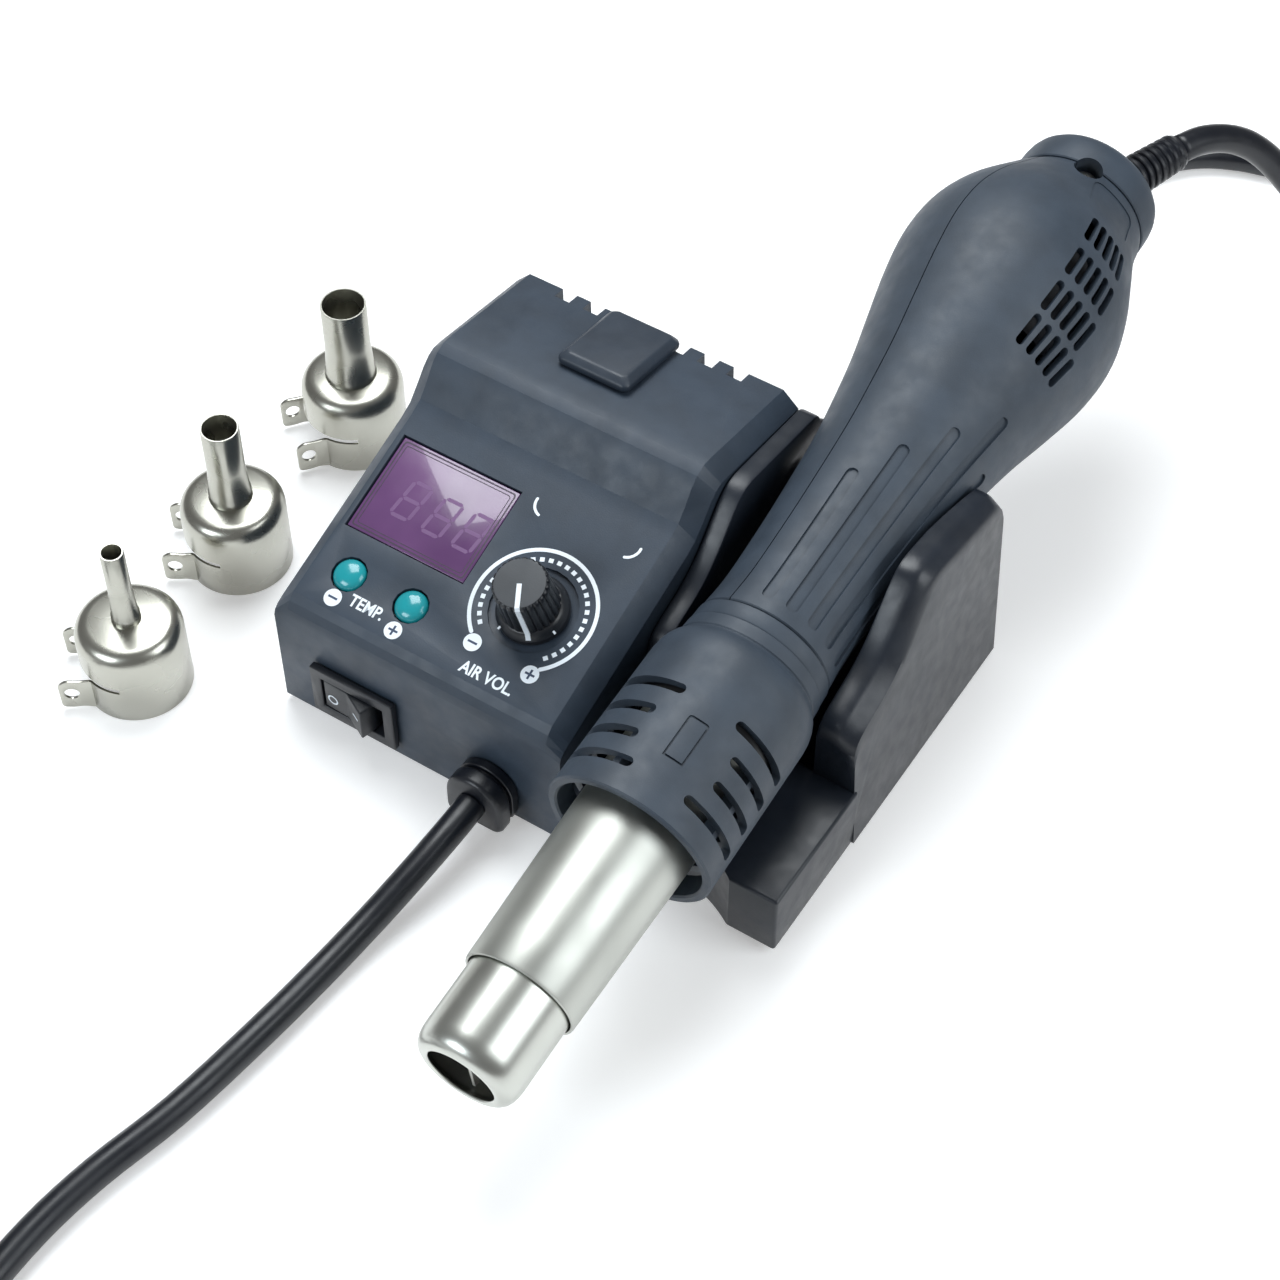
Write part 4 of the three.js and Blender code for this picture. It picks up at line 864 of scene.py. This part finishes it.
def shell_pieces():
    walls = boolean(shell_loft(0), shell_loft(2.0, 38.0, 3.0, 60))
    vents = []
    for t, start, stop in VENT_ROWS:
        for i in range(5):
            at = radial(t, start + (stop - start) * i / 4)
            vents.append(prism("vent", stadium(7.8, 1.95), 15, 34, at))
    boolean(walls, joined(vents))
    grooves = []
    for angle, stop in GRIP_GROOVES:
        at = radial((GROOVE_START + stop) / 2, angle)
        grooves.append(prism("groove", stadium(stop - GROOVE_START, 2.7), 9, 28, at))
    boolean(walls, boolean(joined(grooves), shell_loft(0.55)))
    label = prism("label", fillet([(-3.7, -6.4), (3.7, -6.4), (3.7, 6.4), (-3.7, 6.4)], 2.2, 6),
                  9, 28, radial(163.6, 51))
    boolean(walls, boolean(label, shell_loft(0.22)))
    boolean(walls, prism("hole", circle(3.3, 32), 8, 25, CAP_SCREW_AT))
    seam = radial(0, SEAM_ANGLE - 90)
    other = walls.copy()
    other.data = walls.data.copy()
    bpy.context.scene.collection.objects.link(other)
    boolean(walls, box_tool(0, 200, -60, 60, 0.15, 60, seam), "INTERSECT")
    boolean(other, box_tool(0, 200, -60, 60, -60, -0.15, seam), "INTERSECT")
    walls.name = "shell_vented_fine"
    other.name = "shell_plain_fine"
    finish_piece(walls, HANDLE_LOOK, "handle", ["shell_vented"], 35)
    finish_piece(other, HANDLE_LOOK, "handle", ["shell_plain"], 35)


shell_pieces()
cradle_pieces()

# ------------------------------------------------------------------ slotted guard
GUARD_MARK_ANGLE = 78.4
FRAME_ANGLE = 77
# Station of each row of slots, and how far from the mark they start: usually, and left of it.
SLOT_ROWS = [(-5.4, 20, 17), (0.8, 30, 26), (7, 30, 26), (13.3, 20, 17)]
SLOT_END = 78


def curved_slot(start, stop, t, width, r0, r1):
    """Slot round the handle axis with round ends; angles as in radial()."""
    rings = []
    middle = (r0 + r1) / 2
    end = math.degrees(width / 2 / middle)
    angles = [start + end * (1 - math.cos(math.pi / 2 * i / 5)) for i in range(6)]
    steps = 20
    angles += [start + end + (stop - start - 2 * end) * i / steps for i in range(1, steps)]
    angles += [stop - end * (1 - math.cos(math.pi / 2 * i / 5)) for i in range(5, -1, -1)]
    for angle in angles:
        inside = min(angle - start, stop - angle, end)
        h = max(0.03, width / 2 * math.sqrt(max(0.0, 1 - (1 - inside / end) ** 2)))
        a = math.radians(angle)
        u, v = math.sin(a), math.cos(a)
        rings.append([(r0 * u, r0 * v, t - h), (r1 * u, r1 * v, t - h), (r1 * u, r1 * v, t + h),
                      (r0 * u, r0 * v, t + h)])
    return loft("slot", rings, HANDLE)


def guard():
    outer = [(18.2, 24), (18.0, 26), (17.6, 27.6), (17.0, 28.9), (16.2, 29.9),
             (15.85, 30.3), (15.75, 30.7), (15.95, 31.0), (15.75, 33.8), (15.4, 34.0),
             (15.6, 34.4), (15.45, 37.5), (15.2, 37.7)]
    inner = [(13.8, 37.7), (13.8, 31), (16.3, 26)]
    profile = [(16.5, -11.6), (16.9, -12.0), (18.1, -12.0), (18.5, -11.6)] + outer + inner
    body = lathe("guard_fine", profile, HANDLE, 144)
    slots = []
    for half in (0, 180):
        for side in (1, -1):
            for t, usual, beside_mark in SLOT_ROWS:
                near = beside_mark if side > 0 and half == 0 else usual
                ends = sorted(GUARD_MARK_ANGLE + half + side * a for a in (near, SLOT_END))
                slots.append(curved_slot(*ends, t, 2.3, 15.0, 22.0))
    boolean(body, joined(slots))
    mark = radial(4.3, FRAME_ANGLE)
    frame_line = prism("line", fillet([(-5.1, -2.3), (5.1, -2.3), (5.1, 2.3), (-5.1, 2.3)], 0.9, 5),
                       17.9, 20, mark)
    boolean(frame_line, prism("in", fillet([(-4.65, -1.85), (4.65, -1.85), (4.65, 1.85),
                                            (-4.65, 1.85)], 0.6, 5), 17, 21, mark))
    boolean(body, frame_line)
    finish_piece(body, HANDLE_LOOK, "handle", ["guard"], 35)
    for i, angle in enumerate((20, 110, 200, 290)):
        rib = box_tool(-9, 11, -0.8, 0.8, 13.5, 16.6, radial(0, angle))
        rib.name = f"guard_rib_{i}"
        finish_piece(rib, HANDLE_LOOK, "handle")


guard()


# ------------------------------------------------------------------ barrel
def barrel():
    tube = [(12.9, 20), (12.9, -12), (12.75, -20), (12.3, -42), (12.15, -49.0), (12.05, -49.5),
            (11.8, -49.7), (11.5, -49.6), (11.4, -49.2), (11.5, -45), (12.2, -12), (12.2, 20)]
    finish_piece(lathe("steel_tube_fine", tube, HANDLE, 128), TUBE_LOOK, "handle", ["steel_tube"])
    nose = [(11.1, -44), (11.1, -64.2), (11.0, -65.6), (10.75, -66.7), (10.3, -67.7),
            (9.6, -68.45), (8.8, -68.9), (8.1, -69.0), (7.6, -68.95), (7.4, -68.75),
            (7.45, -68.5), (7.9, -68.2), (8.9, -67.6), (9.6, -66.6), (10.1, -64.9), (10.4, -62),
            (10.4, -44)]
    finish_piece(lathe("nose_sleeve_fine", nose, HANDLE, 128), NOSE_LOOK, "handle",
                 ["nose_sleeve"])
    collar = [(13.3, 12), (14.2, 12.6), (15.3, 14.5), (15.8, 16.5), (15.8, 21.4), (15.5, 25.5),
              (13.3, 25.5)]
    finish_piece(lathe("heat_collar_fine", collar, HANDLE, 96), BLACK_LOOK, "handle",
                 ["heat_collar"])
    core = [(5.5, -62), (9.3, -62), (9.3, 8), (11.7, 8), (11.7, 12), (9.3, 12), (9.3, 26),
            (5.5, 26)]
    finish_piece(lathe("heater_core_fine", core, HANDLE, 64), CERAMIC_LOOK, "handle",
                 ["heater_core"])


barrel()


# ------------------------------------------------------------------ end cap and strain relief
def end_pieces():
    outside = [(16.15, 170.6), (16.4, 170.85), (16.45, 173), (16.4, 175), (16.15, 176.8),
               (15.7, 178.1), (14.95, 179.1), (13.9, 179.8), (12.6, 180.25), (10.8, 180.55),
               (6, 180.9), (0, 181)]
    inside = [(0, 178.4), (9.8, 178), (12.2, 176), (12.2, 164.5), (13.6, 164.5), (13.6, 170.6)]
    cap = lathe("end_cap_fine", outside + inside, HANDLE, 120)
    x = Vector((0, 0, 1))
    relief = frame_of(RELIEF_START, x - RELIEF_AXIS * x.dot(RELIEF_AXIS),
                      RELIEF_AXIS.cross(x))
    boolean(cap, prism("hole", circle(5.2, 40), -12, 12, relief))
    boss = prism("boss", circle(4.4, 32), 6.6, 13.2, CAP_SCREW_AT)
    boolean(boss, prism("hole", circle(3.3, 32), 11.2, 25, CAP_SCREW_AT))
    boolean(boss, prism("hole", circle(1.5, 24), 7.6, 25, CAP_SCREW_AT))
    boolean(cap, prism("hole", circle(3.3, 32), 11.2, 25, CAP_SCREW_AT))
    finish_piece(cap, HANDLE_LOOK, "handle", ["end_cap"], 35)
    boss.name = "end_cap_boss"
    finish_piece(boss, HANDLE_LOOK, "handle")
    profile = [(0, -9), (4.8, -9), (4.8, -2.9)]
    for i in range(8):
        z = -2.6 + 1.92 * i
        wide = 4.9 - 0.09 * i
        profile += [(4.05, z), (4.0, z + 0.42), (wide - 0.15, z + 0.55), (wide, z + 0.75),
                    (wide, z + 1.4), (wide - 0.15, z + 1.6)]
    profile += [(3.8, RELIEF_LENGTH), (0, RELIEF_LENGTH)]
    finish_piece(lathe("strain_relief_fine", profile, relief, 64), CORD_LOOK, "handle",
                 ["strain_relief"])
    screw = lathe("cap_screw_fine", [(0, 13.2), (0.9, 13.15), (2.0, 12.9), (2.75, 12.3),
                                     (2.9, 11.6), (1.2, 11.5), (1.2, 8.2), (0, 8.2)],
                  CAP_SCREW_AT, 48)
    for turn in (0, 90):
        cross = shifted(CAP_SCREW_AT, 0, 0, 0, math.radians(turn))
        boolean(screw, box_tool(-1.4, 1.4, -0.3, 0.3, 12.3, 14, cross))
    finish_piece(screw, ZINC_LOOK, "handle", ["cap_screw"])


end_pieces()

# ------------------------------------------------------------------ nozzles
CUP_R = 11.65
SHEET = 0.5
TAB_OFFSET = 7.3
BAND_H = 10.4
EAR_HOLE = (13.3, 5.2)
EAR_HOLE_R = 1.65
NOZZLES = [
    ("nozzle_small", -30, -13.2, 2.55, 2.85, 216),
    ("nozzle_medium", -32.9, 26.1, 4.2, 4.5, 212),
    ("nozzle_large", -32.9, 70.2, 5.15, 5.5, 232),
]


def sector_slot(r0, r1, start, stop, z0, z1, matrix):
    rings = []
    steps = 40
    for i in range(steps + 1):
        a = math.radians(start + (stop - start) * i / steps)
        c, s = math.cos(a), math.sin(a)
        rings.append([(r0 * c, r0 * s, z0), (r1 * c, r1 * s, z0), (r1 * c, r1 * s, z1),
                      (r0 * c, r0 * s, z1)])
    return loft("slot", rings, matrix)


def nozzle(name, x, y, mouth, base, turn):
    at = shifted(WORLD, x, y, 0, math.radians(turn))
    outside = [(CUP_R - 0.1, 0), (CUP_R, 0.15), (CUP_R, 16.2), (11.55, 17.2), (11.25, 18.15),
               (10.75, 18.95), (10.05, 19.6), (9.2, 20.0), (8.2, 20.2), (base + 1.0, 20.5),
               (base + 0.35, 20.55), (base + 0.3, 20.75), (base + 0.22, 22.6), (base + 0.02, 22.9),
               (mouth, 30), (mouth, 41.8), (mouth - 0.12, 42)]
    inside = [(mouth - SHEET + 0.1, 42), (mouth - SHEET, 41.8), (mouth - SHEET, 30),
              (base - SHEET, 22.5), (base - SHEET, 20.1), (8.2, 19.7), (9.4, 19.3),
              (10.3, 18.6), (10.9, 17.6), (CUP_R - SHEET, 16.2), (CUP_R - SHEET, 0.15),
              (CUP_R - SHEET + 0.1, 0)]
    cup = lathe(name + "_cup", outside + inside, at, 128)
    boolean(cup, box_tool(4, 20, -TAB_OFFSET, TAB_OFFSET, -1, BAND_H, at))
    boolean(cup, sector_slot(9, 14, -78, 78, BAND_H - 1.4, BAND_H, at))
    upright = at @ frame_of((0, 0, 0), (1, 0, 0), (0, 0, 1))
    finish_piece(cup, NICKEL_LOOK, name, [name], 38)
    for side in (1, -1):
        z = -(TAB_OFFSET + 0.35) if side > 0 else TAB_OFFSET - 0.35
        outline = fillet([(8.4, 0.2), (11.2, 0.9), (13.4, 0.6), (15.9, 0.9), (16.0, 8.0),
                          (14.3, 9.2), (11.2, 8.9), (8.4, 9.2)], 1.1, 5)
        tab = prism(name + ("_tab_a" if side > 0 else "_tab_b"), outline, z, z + 0.7, upright)
        hole = [(EAR_HOLE[0] + u, EAR_HOLE[1] + v) for u, v in circle(EAR_HOLE_R, 32)]
        boolean(tab, prism("hole", hole, z - 1, z + 2, upright))
        soften(tab, 0.12, 40, 2)
        finish_piece(tab, NICKEL_LOOK, name, sharp=38)


for spec in NOZZLES:
    nozzle(*spec)


# ------------------------------------------------------------------ nodes shown as they are
CARRIED = {
    "base_plate": HOUSING_LOOK, "cradle_base": CRADLE_LOOK, "display_module": BLACK_LOOK,
    "control_board": BOARD_LOOK, "power_board": BOARD_LOOK, "pot_body": ZINC_LOOK,
    "pot_shaft": ZINC_LOOK, "tact_switch_minus": BLACK_LOOK, "tact_switch_plus": BLACK_LOOK,
    "reed_switch": BOARD_LOOK, "cradle_screw_1": ZINC_LOOK, "cradle_screw_2": ZINC_LOOK,
    "mica_cross": MICA_LOOK, "fan_casing": BLACK_LOOK, "fan_motor": ZINC_LOOK,
    "impeller": BLACK_LOOK, "handle_board": BOARD_LOOK, "magnet": ZINC_LOOK,
}
for i in range(1, 5):
    CARRIED[f"foot_{i}"] = FOOT_LOOK
    CARRIED[f"base_screw_{i}"] = ZINC_LOOK
for node, look in CARRIED.items():
    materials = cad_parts[node].data.materials
    materials.clear()
    materials.append(look)


# ------------------------------------------------------------------ stage
def white_mix(mat, shader_output, surface, color, strength):
    """Adds a plain white seen only by camera, glossy and transmission rays."""
    tree = mat.node_tree
    path = tree.nodes.new("ShaderNodeLightPath")
    first = tree.nodes.new("ShaderNodeMath")
    first.operation = "MAXIMUM"
    second = tree.nodes.new("ShaderNodeMath")
    second.operation = "MAXIMUM"
    tree.links.new(path.outputs["Is Camera Ray"], first.inputs[0])
    tree.links.new(path.outputs["Is Glossy Ray"], first.inputs[1])
    tree.links.new(first.outputs[0], second.inputs[0])
    tree.links.new(path.outputs["Is Transmission Ray"], second.inputs[1])
    scale = tree.nodes.new("ShaderNodeMath")
    scale.operation = "MULTIPLY"
    scale.inputs[1].default_value = strength
    tree.links.new(second.outputs[0], scale.inputs[0])
    emission = tree.nodes.new("ShaderNodeEmission")
    emission.inputs["Color"].default_value = color
    tree.links.new(scale.outputs[0], emission.inputs["Strength"])
    add = tree.nodes.new("ShaderNodeAddShader")
    tree.links.new(shader_output, add.inputs[0])
    tree.links.new(emission.outputs[0], add.inputs[1])
    tree.links.new(add.outputs[0], surface)


def add_floor():
    size = 3.0
    mesh = bpy.data.meshes.new("floor")
    mesh.from_pydata([(-size, -size, 0), (size, -size, 0), (size, size, 0), (-size, size, 0)], [],
                     [(0, 1, 2, 3)])
    floor = new_object("floor", mesh)
    floor.location.z = -0.0001
    mat, tree, shader = principled("floor_paper")
    shader.inputs["Base Color"].default_value = (0.86, 0.86, 0.86, 1)
    shader.inputs["Roughness"].default_value = 0.9
    output = tree.nodes["Material Output"]
    white_mix(mat, shader.outputs[0], output.inputs["Surface"], (1, 1, 1, 1), 0.35)
    mesh.materials.append(mat)


def area_light(name, place, aim, size, energy, color=(1, 1, 1)):
    data = bpy.data.lights.new(name, "AREA")
    data.shape = "RECTANGLE"
    data.size = size[0] * MM
    data.size_y = size[1] * MM
    data.energy = energy
    data.color = color
    obj = bpy.data.objects.new(name, data)
    bpy.context.scene.collection.objects.link(obj)
    obj.location = row(place)
    obj.rotation_euler = (row(aim) - obj.location).to_track_quat("-Z", "Y").to_euler()


def add_world():
    world = bpy.data.worlds.new("studio")
    bpy.context.scene.world = world
    world.use_nodes = True
    tree = world.node_tree
    background = tree.nodes["Background"]
    path = tree.nodes.new("ShaderNodeLightPath")
    span = tree.nodes.new("ShaderNodeMapRange")
    span.inputs["To Min"].default_value = 0.22
    span.inputs["To Max"].default_value = 1.0
    background.inputs["Color"].default_value = (1, 1, 1, 1)
    tree.links.new(path.outputs["Is Camera Ray"], span.inputs["Value"])
    tree.links.new(span.outputs["Result"], background.inputs["Strength"])


add_floor()
add_world()
area_light("key", (-150, 260, 620), (40, 40, 20), (420, 420), 4.1, (0.94, 0.98, 1.0))
area_light("side", (520, 120, 380), (60, 60, 20), (300, 420), 1.5, (0.92, 0.97, 1.0))
area_light("front", (-140, -520, 380), (40, 0, 20), (340, 260), 1.9, (0.86, 0.94, 1.0))
bpy.context.scene.view_settings.view_transform = "Standard"
